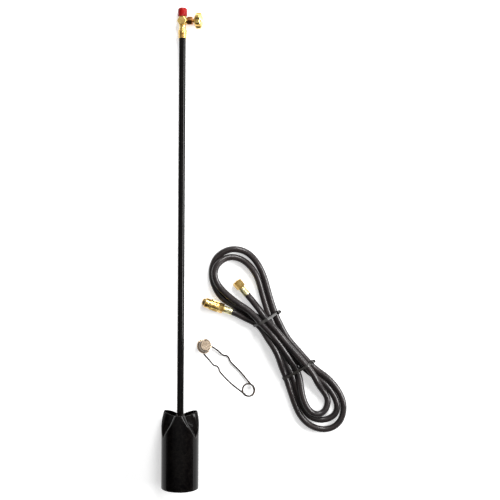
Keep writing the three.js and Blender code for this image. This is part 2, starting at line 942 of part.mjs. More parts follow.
// The coil winds up from the flint arm's root and runs out into the cup's arm.
function cupArm() {
  const points = [];
  const parts = 12 * coilTurns;
  for (let i = 0; i <= parts; i += 1) {
    const angle = -Math.PI / 2 - (2 * Math.PI * coilTurns * i) / parts;
    points.push([coilRadius * Math.cos(angle), coilRadius * Math.sin(angle), (armRise * i) / parts]);
  }
  points.push([7, 13.6, armRise], [35, 17.6, armRise], [65.5, 17.9, armRise]);
  points.push([70.5, 17, armRise], [75, 14.4, armRise], [81, 14.2, armRise], [86, 17.2, armRise]);
  points.push([102, 16.7, armRise], [117.5, 16.2, armRise]);
  return wire(points, 72);
}

function flintArm() {
  return wire(
    [
      [2 * clearance, -coilRadius, 0],
      [9, -13, 0],
      [39, -15, 0],
      [65.5, -14.6, 0],
      [70.5, -15.9, 0],
      [75, -17.6, 0],
      [81, -17.2, 0],
      [86, -13.1, 0],
      [102, -11.2, 0],
      [117, -7.4, 0],
      [cupCentre[0] - holderRadius - clearance - 0.4, -3.7, 0],
    ],
    36,
  );
}

function cup() {
  const base = flangeHeight;
  const outside = [
    [cupFlange, base],
    [cupFlange, base + cupWall],
    [cupRadius + cupDraft, base + cupWall],
    [cupRadius, crownHeight - 1.5],
    [cupRadius - 1.5, crownHeight],
    [0, crownHeight],
  ];
  const inside = [
    [0, crownHeight - cupWall],
    [cupRadius - cupWall - 1, crownHeight - cupWall],
    [cupRadius + cupDraft - cupWall, base],
  ];
  return turned([...inside, ...outside], 32).rotateX(Math.PI / 2);
}

// A turned piece on the cup's own axis.
function upright(profile, segments = 24) {
  return turned(profile, segments).rotateX(Math.PI / 2);
}

function strikerFile() {
  const top = crownHeight - cupWall - clearance;
  return upright([
    [0, top - fileThickness],
    [fileRadius, top - fileThickness],
    [fileRadius, top],
    [0, top],
  ]);
}

function flint() {
  const top = crownHeight - cupWall - 2 * clearance - fileThickness;
  return upright([
    [0, top - flintLength],
    [flintRadius, top - flintLength],
    [flintRadius, top],
    [0, top],
  ]);
}

function flintHolder() {
  const top = crownHeight - cupWall - 3 * clearance - fileThickness - flintLength;
  return upright([
    [0, -wireRadius],
    [holderRadius, -wireRadius],
    [holderRadius, top - 0.8],
    [holderRadius - 0.8, top],
    [0, top],
  ]);
}

function striker() {
  const set = new THREE.Group();
  set.position.set(...strikerPlace, 0);
  set.rotation.z = strikerTurn;
  const leaning = group(set, [0, 0, 0], [strikerLean, 0, 0]);
  leaning.name = "striker_coil";
  leaning.add(mesh("striker_cup_arm", cupArm(), "steel"));
  leaning.add(mesh("striker_flint_arm", flintArm(), "steel"));
  const cupPlace = group(leaning, [...cupCentre, 0]);
  cupPlace.add(mesh("striker_cup", cup(), "steel"));
  cupPlace.add(mesh("striker_file", strikerFile(), "flint"));
  const holderPlace = group(leaning, [cupCentre[0], -3.2, 0]);
  holderPlace.add(mesh("flint_holder", flintHolder(), "brass"));
  holderPlace.add(mesh("striker_flint", flint(), "flint"));
  return set;
}

// ---------------------------------------------------------------- the whole kit

// Stands a group on Z = 0.
function floored(piece) {
  piece.updateMatrixWorld(true);
  piece.position.z -= new THREE.Box3().setFromObject(piece, true).min.z;
  return piece;
}

const kit = new THREE.Group();
const ownPieces = group(kit);
ownPieces.add(floored(torch()));
ownPieces.add(floored(striker()));
kit.add(floored(hoseSet()));

// The frame's origin is under the middle of the torch and striker.
ownPieces.updateMatrixWorld(true);
const middle = new THREE.Box3().setFromObject(ownPieces, true).getCenter(new THREE.Vector3());
kit.position.set(-middle.x, -middle.y, 0);

const propaneTorch = new THREE.Group();
propaneTorch.add(kit);
export default propaneTorch;
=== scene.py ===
# %% [markdown]
# # A propane torch with its hose and its striker
# The torch is a thin steel pipe with a pressed steel bell at one end and a brass needle valve at the
# other. Beside it lie the gas hose, folded and tied, and a spring wire striker that lights the flame.
# The model of the construction comes first: it says where every piece is and how it moves. The pieces
# below are finer surfaces that are laid over it, and each takes its place from it.

import json
import math

import bmesh
import bpy
import numpy as np
from mathutils import Matrix


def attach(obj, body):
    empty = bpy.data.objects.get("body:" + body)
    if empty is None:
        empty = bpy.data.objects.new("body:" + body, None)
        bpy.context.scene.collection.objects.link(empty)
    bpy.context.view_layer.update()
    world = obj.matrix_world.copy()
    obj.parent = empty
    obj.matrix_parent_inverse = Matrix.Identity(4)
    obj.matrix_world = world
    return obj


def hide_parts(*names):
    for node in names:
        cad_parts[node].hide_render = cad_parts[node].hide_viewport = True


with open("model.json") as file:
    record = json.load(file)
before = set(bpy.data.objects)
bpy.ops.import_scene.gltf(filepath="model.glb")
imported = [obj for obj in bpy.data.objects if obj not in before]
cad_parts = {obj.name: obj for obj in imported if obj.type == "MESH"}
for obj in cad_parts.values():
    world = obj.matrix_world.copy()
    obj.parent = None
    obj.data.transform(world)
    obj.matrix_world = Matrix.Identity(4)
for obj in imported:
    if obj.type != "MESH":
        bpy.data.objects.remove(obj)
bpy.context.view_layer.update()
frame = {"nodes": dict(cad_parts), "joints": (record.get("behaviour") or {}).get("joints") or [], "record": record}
joints = {joint["name"]: joint for joint in frame["joints"]}
mounts = {mount["name"]: mount for mount in frame["record"]["mounts"]}


# %% [markdown]
# ## Where the pieces are
# A torch is easiest to describe along its own pipe, and a fitting along its own bore. Each of these has
# a place: a point and three directions. They could be typed in, but the construction's joints and
# mounts already give them, so a piece built at its place follows the construction when that changes.

# %% Places
def unit(vector):
    """The vector divided by its own length."""
    vector = np.asarray(vector, float)
    return vector / np.linalg.norm(vector)


def place(point, along, up):
    """A point, and three directions at right angles: across, along and up, with across = along x up."""
    along, up = unit(along), unit(up)
    return np.asarray(point, float), np.array([np.cross(along, up), along, up])


def put(points, where):
    """Points in millimetres at a place, in metres: point + x * across + y * along + z * up."""
    origin, axes = where
    return origin + np.asarray(points, float) @ axes * 0.001


def at(where, offset):
    """The same directions as a place, from a point moved by an offset in millimetres."""
    return put(offset, where), where[1]


# The mouth's mount is at the top of its rim, in the middle of the wall. The ties are given in
# millimetres from the hank's middle, across it and along it.
rim_middle = 0.0372
upper_tie_spot, lower_tie_spot = [-29.6, 54], [38.9, -49.1]

wand_line = unit(joints["cap_pull"]["axis"])
world_up = unit([0, -wand_line[2], wand_line[1]])
mouth = np.array(mounts["bell_mouth"]["pos_m"]) - rim_middle * world_up
bell_place = place(mouth, wand_line, world_up)
knob_line = unit(joints["valve_turn"]["axis"])
torch_place = place(mouth, wand_line, np.cross(knob_line, wand_line))
spindle_point = joints["valve_turn"]["pos_m"]
spindle_place = place(spindle_point, knob_line, wand_line)
block_place = place(spindle_point, torch_place[1][2], knob_line)
flare_place = place(joints["flare_nut_spin"]["pos_m"], joints["flare_nut_spin"]["axis"], [0, 0, 1])
supply_place = place(joints["pol_nut_spin"]["pos_m"], joints["pol_nut_spin"]["axis"], [0, 0, 1])
coil_up = unit(joints["striker_squeeze"]["axis"])
coil_across = unit([-coil_up[1], coil_up[0], 0])
coil_place = place(joints["striker_squeeze"]["pos_m"], np.cross(coil_up, coil_across), coil_up)
lower_tie_point = np.array([*mounts["hank_rest"]["pos_m"][:2], 0])
hank_middle = lower_tie_point - np.array([*lower_tie_spot, 0]) * 0.001
print("torch at", mouth, "hank at", hank_middle)


# %% [markdown]
# ## The camera
# An orthographic camera would also keep the wand straight, but it would show nothing of the bell's
# rear openings, so this one has a long lens. Its distance, its tilt away from straight down and its
# roll are given, and its three directions follow from them.

# %% Camera
from_mouth = 0.13743, 0.48099
look_at = np.array([mouth[0] + from_mouth[0], mouth[1] + from_mouth[1], 0.0])
camera_distance, camera_lens = 2.2377, 79.7
tilt, roll = math.radians(5.5), math.radians(0.5586)
look = np.array([0, -math.sin(tilt), -math.cos(tilt)])
level_up = np.array([0, math.cos(tilt), -math.sin(tilt)])
camera_right = math.cos(roll) * np.array([1, 0, 0]) + math.sin(roll) * level_up
camera_up = np.cross(camera_right, look)
camera_data = bpy.data.cameras.new("camera")
camera = bpy.data.objects.new("camera", camera_data)
bpy.context.scene.collection.objects.link(camera)
camera_data.lens = camera_lens
camera_data.sensor_width = 36
camera_place = np.eye(4)
camera_place[:3] = np.stack([camera_right, camera_up, -look, look_at - camera_distance * look], 1)
camera.matrix_world = Matrix(camera_place.tolist())
bpy.context.scene.camera = camera
bpy.context.scene.view_settings.view_transform = "Standard"
print("camera at", camera_place[:3, 3])


# %% [markdown]
# ## Surfaces from grids
# Every new piece is a grid of points: rows along it and columns around it. Neighbouring points make a
# four-sided face. A direction that closes on itself joins its last line to its first, and a line of
# points in one spot, such as the tip of a dome, is merged to one. Blender's own cylinders and curves
# could stand in for some pieces, but a grid can take any formula, and it knows its own rows. So it also
# gives each piece a layout of its surface in metres, for lines that follow its shape, and a value that
# rises where the surface turns sharply, for worn edges and for painted highlights and painted shade.

# %% From a grid to a mesh
edge_gain = 2.5


def sharpness(grid, axis, wrap):
    """How sharply a line of points turns: the sine of half the turn, |u + w| / 2, where u and w are the
    unit steps to the point before and to the point after."""
    before, after = np.roll(grid, 1, axis) - grid, np.roll(grid, -1, axis) - grid
    lengths = [np.linalg.norm(step, axis=2, keepdims=True) for step in (before, after)]
    units = before / np.maximum(lengths[0], 1e-9) + after / np.maximum(lengths[1], 1e-9)
    turn = np.linalg.norm(units, axis=2) / 2
    turn = np.where((lengths[0] < 1e-6)[..., 0] | (lengths[1] < 1e-6)[..., 0], 0, turn)
    if not wrap:
        turn[(0, -1), :] = 0 if axis == 0 else turn[(0, -1), :]
        turn[:, (0, -1)] = 0 if axis == 1 else turn[:, (0, -1)]
    return turn


def surface(name, grid, wrap=(False, True), capped=False, sharp=40):
    """A mesh from points of shape (rows, columns, 3): face (r, c) joins (r, c), (r, c+1), (r+1, c+1),
    (r+1, c). The layout is the mean distance along the rows and around the columns. The edge value is
    edge_gain times the sharpness, up to 1."""
    rows, columns = grid.shape[:2]
    r = np.arange(rows if wrap[0] else rows - 1)[:, None]
    c = np.arange(columns if wrap[1] else columns - 1)[None, :]
    r_next, c_next = (r + 1) % rows, (c + 1) % columns
    corners = [r * columns + c, r * columns + c_next, r_next * columns + c_next, r_next * columns + c]
    faces = np.stack(corners, -1).reshape(-1, 4)
    whole = faces.tolist()
    if capped:
        whole += [list(range(columns)), list(range((rows - 1) * columns, rows * columns))]
    mesh = bpy.data.meshes.new(name)
    mesh.from_pydata(grid.reshape(-1, 3).tolist(), [], whole)

    down = np.linalg.norm(np.roll(grid, -1, 0) - grid, axis=2).mean(1)
    around = np.linalg.norm(np.roll(grid, -1, 1) - grid, axis=2).mean()
    v = np.concatenate([[0], np.cumsum(down)])
    layout = [(c + 0 * r, r), (c + 1 + 0 * r, r), (c + 1 + 0 * r, r + 1), (c + 0 * r, r + 1)]
    uv = np.stack([np.stack([u * around, v[n] + 0 * u], -1) for u, n in layout], 2).reshape(-1, 2)
    spare = np.zeros((2 * columns if capped else 0, 2))
    mesh.uv_layers.new(name="along").uv.foreach_set("vector", np.concatenate([uv, spare]).ravel())
    edge = np.maximum(sharpness(grid, 0, wrap[0]), sharpness(grid, 1, wrap[1]))
    value = mesh.attributes.new("edge", "FLOAT", "POINT")
    value.data.foreach_set("value", np.clip(edge_gain * edge, 0, 1).ravel())
    return finished(name, mesh, sharp)


def finished(name, mesh, sharp):
    """Merges doubled points, turns the faces outwards and smooths all but the sharp edges."""
    work = bmesh.new()
    work.from_mesh(mesh)
    bmesh.ops.remove_doubles(work, verts=work.verts, dist=1e-6)
    bmesh.ops.recalc_face_normals(work, faces=work.faces)
    work.to_mesh(mesh)
    work.free()
    mesh.shade_smooth()
    mesh.set_sharp_from_angle(angle=math.radians(sharp))
    piece = bpy.data.objects.new(name, mesh)
    bpy.context.scene.collection.objects.link(piece)
    return piece


# %% [markdown]
# Real metal has no corners without a radius, and a tiny round edge is what catches the light. A Bevel
# modifier could round them afterwards, but a profile that is rounded before it is spun keeps its grid.
# So a profile is drawn with corners and then each corner is rounded by a short curve.

# %% Rounded profiles
def rounded(points, reach, closed=False, steps=4):
    """Each corner becomes a curve (1-t)^2 A + 2 t (1-t) corner + t^2 B, where A and B lie on its two
    sides, `reach` away but never past 0.45 of a side. The ends of an open line stay."""
    points = np.asarray(points, float)
    corner = points if closed else points[1:-1]
    before = np.roll(points, 1, 0) if closed else points[:-2]
    after = np.roll(points, -1, 0) if closed else points[2:]
    t = np.linspace(0, 1, steps + 1)[None, :, None]

    def side(end):
        length = np.linalg.norm(end - corner, axis=1, keepdims=True)
        return corner + (end - corner) * np.minimum(reach / np.maximum(length, 1e-9), 0.45)

    a, b = side(before)[:, None], side(after)[:, None]
    curve = (1 - t) ** 2 * a + 2 * t * (1 - t) * corner[:, None] + t**2 * b
    curve = curve.reshape(-1, points.shape[1])
    return curve if closed else np.concatenate([points[:1], curve, points[-1:]])


def divided(points, step, closed=False):
    """A line of points with its long sides cut into pieces no longer than `step`."""
    ends = np.roll(points, -1, 0) if closed else points[1:]
    starts = points if closed else points[:-1]
    counts = np.maximum(1, np.ceil(np.linalg.norm(ends - starts, axis=1) / step)).astype(int)
    number = np.arange(counts.sum()) - np.repeat(np.cumsum(counts) - counts, counts)
    share = number / np.repeat(counts, counts)
    line = np.repeat(starts, counts, 0) + share[:, None] * np.repeat(ends - starts, counts, 0)
    return line if closed else np.concatenate([line, points[-1:]])


# %% [markdown]
# Most of the brass is turned on a lathe: a profile spun about the bore. A nut is turned too, from a
# hexagon bar. It could be cut from a spun mesh with a boolean, but its surface at each angle is simply
# the smaller of the turned radius and the bar's flat, and that gives the curved chamfers of a real nut.

# %% Turned pieces
def angles(columns):
    """Angles of a full circle, one for each column."""
    return np.arange(columns) * 2 * np.pi / columns


def flats(angle, sides, half_across, turn=0.0, corner=None):
    """The radius of a bar with flat sides: half_across / cos(angle from the middle of the side)."""
    step = 2 * np.pi / sides
    from_middle = (angle + turn + step / 2) % step - step / 2
    radius = half_across / np.cos(from_middle)
    return radius if corner is None else np.minimum(radius, corner)


def turned(name, profile, where, columns=64, shape=None, closed=True, reach=0.5, sharp=40, step=4.0):
    """Radius and height along a profile, spun: x = radius sin(angle), y = height, z = radius cos(angle).
    `shape(radius, height, angle)` may change the radius. A closed profile has a bore."""
    line = divided(rounded(profile, reach, closed), step, closed)
    radius, height, angle = line[:, :1], line[:, 1:], angles(columns)[None, :]
    spun = radius + 0 * angle if shape is None else shape(radius, height, angle)
    grid = np.stack([spun * np.sin(angle), height + 0 * angle, spun * np.cos(angle)], -1)
    return surface(name, put(grid, where), wrap=(closed, True), sharp=sharp)


def hexagon_shape(half_across, turn=0.0, between=None):
    """A turned surface cut by six flats, and only between two heights where those are given."""
    def shape(radius, height, angle):
        bar = np.minimum(radius, flats(angle, 6, half_across, turn))
        if between is None:
            return bar
        return np.where((height > between[0]) & (height < between[1]), bar, radius + 0 * angle)
    return shape


# %% [markdown]
# Closed shells that are one forging or one moulding on the real thing are joined into one skin, so that
# no wall runs on inside. They could be left overlapping, which looks the same from outside, but the mesh
# is a result of its own. A join leaves slivers of no area where walls meet, and these are dissolved.
# Each finished piece is then given its finish and its place in the construction.

# %% One skin from several
def fused(name, first, *others):
    """Joins closed pieces with an exact union and keeps the first piece's name."""
    for other in others:
        join = first.modifiers.new("join", "BOOLEAN")
        join.operation, join.solver, join.object = "UNION", "EXACT", other
        result = first.evaluated_get(bpy.context.evaluated_depsgraph_get())
        shape = bpy.data.meshes.new_from_object(result)
        first.modifiers.clear()
        first.data = shape
        work = bmesh.new()
        work.from_mesh(shape)
        bmesh.ops.dissolve_degenerate(work, edges=work.edges, dist=1e-7)
        work.to_mesh(shape)
        work.free()
    for other in others:
        bpy.data.objects.remove(other)
    first.name = name
    return first


def fit(piece, body, slot, finish, *nodes):
    """Gives a piece its finish, the body that it moves with and the solids that it stands for."""
    piece.data.materials.clear()
    piece.data.materials.append(finish)
    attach(piece, body)
    if nodes:
        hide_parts(*nodes)
    print(piece.name, len(piece.data.polygons), "faces")
    return piece


# %% [markdown]
# ## Effects that several finishes share
# Paint ripples, dust on top, worn edges, the fine rings of a lathe and soft patches of colour appear
# on many of these pieces. They could be drawn again in each material, but then a change would have to
# be made many times. So each is a small group of nodes with named inputs, made once. A group gives
# only masks and normals, and each finish keeps its own shader. A few helpers keep the trees short.

# %% Helpers for node trees
def new_group(name, inputs, outputs):
    """An empty group with the given sockets, and its two end nodes."""
    tree = bpy.data.node_groups.new(name, "ShaderNodeTree")
    for label, kind, value in inputs:
        socket = tree.interface.new_socket(name=label, in_out="INPUT", socket_type=kind)
        if value is not None:
            socket.default_value = value
    for label, kind in outputs:
        tree.interface.new_socket(name=label, in_out="OUTPUT", socket_type=kind)
    return tree, tree.nodes.new("NodeGroupInput"), tree.nodes.new("NodeGroupOutput")


def node(tree, kind, links=None, **settings):
    """Adds a node, sets its properties, and sets or links its inputs."""
    added = tree.nodes.new(kind)
    for key, value in settings.items():
        setattr(added, key, value)
    for key, value in (links or {}).items():
        if isinstance(value, bpy.types.NodeSocket):
            tree.links.new(value, added.inputs[key])
        else:
            added.inputs[key].default_value = value
    return added


def mapped(tree, value, old=(0.0, 1.0), new=(0.0, 1.0), **settings):
    """A number that goes from one end of `new` to the other as the value crosses `old`."""
    ends = {"From Min": old[0], "From Max": old[1], "To Min": new[0], "To Max": new[1]}
    return node(tree, "ShaderNodeMapRange", {"Value": value, **ends}, **settings).outputs["Result"]


def combined(tree, operation, first, second):
    """Two numbers joined by one operation, such as MULTIPLY or MAXIMUM."""
    return node(tree, "ShaderNodeMath", {0: first, 1: second}, operation=operation).outputs[0]


def cloud(tree, scale, **settings):
    """Soft noise from 0 to 1 in the object's own coordinates."""
    where_on = node(tree, "ShaderNodeTexCoord").outputs["Object"]
    return node(tree, "ShaderNodeTexNoise", {"Vector": where_on, "Scale": scale, **settings}).outputs["Fac"]


def bumped(tree, height, start):
    """A normal bent by a height, as strongly and as deeply as the group's inputs say."""
    sizes = {"Strength": start.outputs["Strength"], "Distance": start.outputs["Depth"]}
    return node(tree, "ShaderNodeBump", {"Height": height, **sizes}).outputs["Normal"]


FLOAT, VECTOR = "NodeSocketFloat", "NodeSocketVector"


# %% [markdown]
# `patches` is soft clouds with an edge that each finish sets, for colour that isn't even. `ripple` is
# the small waves of a dipped or moulded skin. `dust` lies only where the surface faces up.
# `edge marks` is a mask only where the edge value is high, broken up by noise so that no edge is
# marked evenly; finishes use it for worn edges and for painted highlights and painted shade on edges.
# `lathe rings` follows the layout down the piece, because a tool leaves its lines around the axis.

# %% The five groups
patches, start, end = new_group(
    "patches", [("Scale", FLOAT, 60.0), ("Low", FLOAT, 0.4), ("High", FLOAT, 0.6)], [("Mask", FLOAT)]
)
edges = start.outputs["Low"], start.outputs["High"]
clouds = cloud(patches, start.outputs["Scale"], Detail=5.0)
spread = node(patches, "ShaderNodeMapRange", {"Value": clouds, "From Min": edges[0], "From Max": edges[1]})
patches.links.new(spread.outputs["Result"], end.inputs["Mask"])

ripple, start, end = new_group(
    "ripple", [("Scale", FLOAT, 900.0), ("Depth", FLOAT, 0.0001), ("Strength", FLOAT, 0.3)],
    [("Normal", VECTOR)]
)
waves = cloud(ripple, start.outputs["Scale"], Detail=3.0)
ripple.links.new(bumped(ripple, waves, start), end.inputs["Normal"])

dust, start, end = new_group("dust", [("Amount", FLOAT, 0.3), ("Scale", FLOAT, 90.0)], [("Mask", FLOAT)])
facing = node(dust, "ShaderNodeNewGeometry")
upright = node(dust, "ShaderNodeSeparateXYZ", {0: facing.outputs["Normal"]})
thick = mapped(dust, cloud(dust, start.outputs["Scale"], Detail=6.0, Roughness=0.7), (0.42, 0.75))
laid = combined(dust, "MULTIPLY", thick, mapped(dust, upright.outputs["Z"], (0.2, 1.0)))
dust.links.new(combined(dust, "MULTIPLY", laid, start.outputs["Amount"]), end.inputs["Mask"])

# A mask where the edge value is high: worn edges, and painted highlights and painted shade on edges.
edge_marks, start, end = new_group(
    "edge marks", [("Amount", FLOAT, 0.6), ("Scale", FLOAT, 300.0)], [("Mask", FLOAT)]
)
turning = node(edge_marks, "ShaderNodeAttribute", attribute_name="edge").outputs["Fac"]
broken = combined(edge_marks, "MULTIPLY", turning, cloud(edge_marks, start.outputs["Scale"], Detail=4.0))
clear = mapped(edge_marks, broken, (0.06, 0.4))
edge_marks.links.new(combined(edge_marks, "MULTIPLY", clear, start.outputs["Amount"]), end.inputs["Mask"])

rings, start, end = new_group(
    "lathe rings", [("Per metre", FLOAT, 2500.0), ("Depth", FLOAT, 0.00003), ("Strength", FLOAT, 0.3)],
    [("Normal", VECTOR)]
)
layout = node(rings, "ShaderNodeUVMap", uv_map="along")
axes = node(rings, "ShaderNodeSeparateXYZ", {0: layout.outputs["UV"]})
down = combined(rings, "MULTIPLY", axes.outputs["Y"], start.outputs["Per metre"])
marks = node(rings, "ShaderNodeTexNoise", {"W": down, "Scale": 1.0, "Detail": 2.0}, noise_dimensions="1D")
rings.links.new(bumped(rings, marks.outputs["Fac"], start), end.inputs["Normal"])
print("groups:", [group.name for group in bpy.data.node_groups])


# %% [markdown]
# ## Finishes
# Each finish starts from one shader and mixes its colour and its roughness with the masks above. An
# image could carry the same detail, but a mask in the object's own coordinates has no seams and stays
# sharp close up. A colour is written as it looks on a screen and changed to light values here.

# %% Shared steps of a finish
def light_values(colour):
    """A screen colour as light: c / 12.92 when dark, else ((c + 0.055) / 1.055) ^ 2.4."""
    colour = np.asarray(colour, float)
    return [*np.where(colour <= 0.04045, colour / 12.92, ((colour + 0.055) / 1.055) ** 2.4), 1.0]


def group_node(tree, group, **inputs):
    """A group placed in a material, with its own values."""
    placed = tree.nodes.new("ShaderNodeGroup")
    placed.node_tree = group
    for key, value in inputs.items():
        placed.inputs[key.replace("_", " ")].default_value = value
    return placed


def mixed(tree, mask, first, second):
    """A colour that goes from the first to the second as the mask goes from 0 to 1."""
    blend = node(tree, "ShaderNodeMix", data_type="RGBA")
    for socket, value in ((6, first), (7, second)):
        if isinstance(value, bpy.types.NodeSocket):
            tree.links.new(value, blend.inputs[socket])
        else:
            blend.inputs[socket].default_value = light_values(value)
    tree.links.new(mask, blend.inputs[0])
    return blend.outputs[2]


def between(tree, mask, low, high):
    """A number from low to high as the mask goes from 0 to 1."""
    return mapped(tree, mask, new=(low, high))


def new_finish(name, **fixed):
    """A material with one Principled shader, and its constant inputs set."""
    finish = bpy.data.materials.new(name)
    finish.use_nodes = True
    tree = finish.node_tree
    shader = tree.nodes["Principled BSDF"]
    for key, value in fixed.items():
        shader.inputs[key.replace("_", " ")].default_value = value
    return finish, tree, shader


def join_to(tree, shader, **sources):
    """Links computed values to the shader's inputs."""
    for key, source in sources.items():
        tree.links.new(source, shader.inputs[key.replace("_", " ")])


# %% [markdown]
# ### Stove enamel
# The pipe and the bell are dipped in black enamel and baked. It is glossy with a faint ripple, and a
# little dust rests on top. Its edges and the bell's creases are mixed to a lighter grey: partly worn
# enamel where steel shows, partly a painted highlight along the creases. A plain black with a low
# roughness would look like glass, so the colour and the gloss both change in wide soft patches. Its
# specular level is low, because a bell this black throws back little of the pale room.

# %% Enamel and painted weld
enamel, tree, shader = new_finish("stove_enamel", Specular_IOR_Level=0.12)
soft = group_node(tree, patches, Scale=35.0, Low=0.35, High=0.7)
laid = group_node(tree, dust, Amount=0.05, Scale=160.0)
# Painted highlight: edges and the bell's creases go lighter grey, partly worn enamel.
worn_and_highlit_edges = group_node(tree, edge_marks, Amount=0.5, Scale=500.0)
base = mixed(tree, soft.outputs["Mask"], (0.012, 0.010, 0.012), (0.032, 0.026, 0.026))
base = mixed(tree, laid.outputs["Mask"], base, (0.36, 0.33, 0.30))
base = mixed(tree, worn_and_highlit_edges.outputs["Mask"], base, (0.24, 0.22, 0.21))
skin = group_node(tree, ripple, Scale=420.0, Depth=0.00012, Strength=0.25)
join_to(tree, shader, Base_Color=base, Roughness=between(tree, soft.outputs["Mask"], 0.08, 0.16),
        Normal=skin.outputs["Normal"])

weld, tree, shader = new_finish("painted_weld", Specular_IOR_Level=0.4)
soft = group_node(tree, patches, Scale=600.0, Low=0.35, High=0.65)
skin = group_node(tree, ripple, Scale=1500.0, Depth=0.0003, Strength=0.6)
join_to(tree, shader, Base_Color=mixed(tree, soft.outputs["Mask"], (0.07, 0.065, 0.06), (0.17, 0.15, 0.13)),
        Roughness=between(tree, soft.outputs["Mask"], 0.35, 0.65), Normal=skin.outputs["Normal"])


# %% [markdown]
# ### Brass and plated metals
# Fresh turned brass is a little browner where it has been handled. Its edges are painted brighter than
# its bright colour: partly polish from handling, partly a painted highlight. The two ferrules have a thin
# yellow plating over steel. The forged valve body has no tool lines but a fine skin. Each could be its own
# tree, but they differ only in numbers, so one function makes them all: `lines` is how strongly the lathe
# shows, `grain` how rough the skin is, and `rim` how many times the bright colour the edges are painted:
# above 1 a painted highlight, below 1 painted shade.

# %% Metals
def metal(name, bright, dull, rough, lines=0.25, grain=0.15, scale=120.0, rim=1.12):
    """A metal whose colour goes from bright to dull in soft patches, and is painted `rim` times the bright colour
    on its edges: a painted highlight above 1, painted shade below 1.
    """
    finish, tree, shader = new_finish(name, Metallic=1.0)
    soft = group_node(tree, patches, Scale=scale, Low=0.36, High=0.66)
    fine = group_node(tree, patches, Scale=scale * 9, Low=0.3, High=0.7)
    edge = group_node(tree, edge_marks, Amount=0.7, Scale=scale * 4)
    turned_lines = group_node(tree, rings, Strength=lines)
    tone = mixed(tree, soft.outputs["Mask"], bright, dull)
    # Edges painted rim times the bright colour: a painted highlight above 1, painted shade below 1.
    tone = mixed(tree, edge.outputs["Mask"], tone, tuple(min(1.0, c * rim) for c in bright))
    skin = node(tree, "ShaderNodeBump", {"Height": fine.outputs["Mask"], "Strength": grain,
                                         "Distance": 0.0001, "Normal": turned_lines.outputs["Normal"]})
    gloss = between(tree, fine.outputs["Mask"], rough, rough + 0.14)
    join_to(tree, shader, Base_Color=tone, Roughness=gloss, Normal=skin.outputs["Normal"])
    return finish


turned_brass = metal("turned_brass", (0.94, 0.81, 0.51), (0.72, 0.54, 0.27), 0.25)
forged_brass = metal("forged_brass", (0.95, 0.82, 0.51), (0.80, 0.63, 0.33), 0.22, lines=0.0, grain=0.3)
red_brass = metal("red_brass", (0.90, 0.66, 0.42), (0.74, 0.44, 0.24), 0.24)
yellow_zinc = metal("yellow_zinc_plate", (0.95, 0.92, 0.74), (0.90, 0.86, 0.64), 0.3, lines=0.1)
plated_steel = metal("plated_steel", (0.84, 0.83, 0.81), (0.70, 0.69, 0.67), 0.26)
spring_wire = metal("spring_wire", (0.24, 0.21, 0.19), (0.11, 0.095, 0.085), 0.2, lines=0.0, grain=0.2)
# Its wall is painted nearly black through rim=0.03: painted shade and a painted dark reflection.
nickel_steel = metal("nickel_plate", (0.84, 0.76, 0.67), (0.75, 0.67, 0.58), 0.2, lines=0.1, rim=0.03)


# %% [markdown]
# ### Rubber
# The hose is extruded rubber: fine lines run along it, where the die has drawn it, and it is browner
# where it has been rubbed. A pattern in object coordinates would cut across the bends, so the lines
# read the layout instead, stretched to be thin around the hose and long along it. A little sheen gives
# the pale bloom of rubber.

# %% Hose rubber
rubber, tree, shader = new_finish(
    "hose_rubber", Specular_IOR_Level=0.45, Sheen_Weight=0.12, Sheen_Roughness=0.5
)
layout = node(tree, "ShaderNodeUVMap", uv_map="along")
stretched = node(tree, "ShaderNodeMapping", {"Vector": layout.outputs["UV"], "Scale": (2200.0, 18.0, 1.0)})
lines = node(tree, "ShaderNodeTexNoise", {"Vector": stretched.outputs[0], "Scale": 1.0, "Detail": 3.0})
soft = group_node(tree, patches, Scale=28.0, Low=0.35, High=0.68)
fine = group_node(tree, patches, Scale=700.0, Low=0.3, High=0.7)
laid = group_node(tree, dust, Amount=0.07, Scale=130.0)
base = mixed(tree, soft.outputs["Mask"], (0.065, 0.045, 0.052), (0.125, 0.092, 0.09))
base = mixed(tree, laid.outputs["Mask"], base, (0.42, 0.39, 0.37))
drawn = node(tree, "ShaderNodeBump", {"Height": lines.outputs["Fac"], "Strength": 0.25, "Distance": 0.0002})
pores = node(tree, "ShaderNodeBump", {"Height": fine.outputs["Mask"], "Strength": 0.2, "Distance": 0.0001,
                                      "Normal": drawn.outputs["Normal"]})
join_to(tree, shader, Base_Color=base, Roughness=between(tree, fine.outputs["Mask"], 0.24, 0.38),
        Normal=pores.outputs["Normal"])
print("made", rubber.name)


# %% [markdown]
# ### Plastic, nylon, seals and flint
# The cap is soft vinyl, the ties are moulded nylon, the seals are black rubber, and the file and the
# flint are hard and dark. All have a moulded or broken skin and no grain with a direction, so one
# function gives them soft patches, a fine bump and slightly paler edges.

# %% Moulded and mineral finishes
def moulded(name, deep, pale, rough, scale=200.0, bump=0.2, **fixed):
    """A plastic or mineral whose colour goes from deep to pale in soft patches."""
    finish, tree, shader = new_finish(name, **fixed)
    soft = group_node(tree, patches, Scale=scale, Low=0.35, High=0.68)
    skin = group_node(tree, ripple, Scale=scale * 6, Depth=0.0001, Strength=bump)
    edge = group_node(tree, edge_marks, Amount=0.35, Scale=scale * 3)
    tone = mixed(tree, soft.outputs["Mask"], deep, pale)
    tone = mixed(tree, edge.outputs["Mask"], tone, tuple(min(1.0, c * 1.25 + 0.05) for c in pale))
    gloss = between(tree, soft.outputs["Mask"], rough, rough + 0.15)
    join_to(tree, shader, Base_Color=tone, Roughness=gloss, Normal=skin.outputs["Normal"])
    return finish


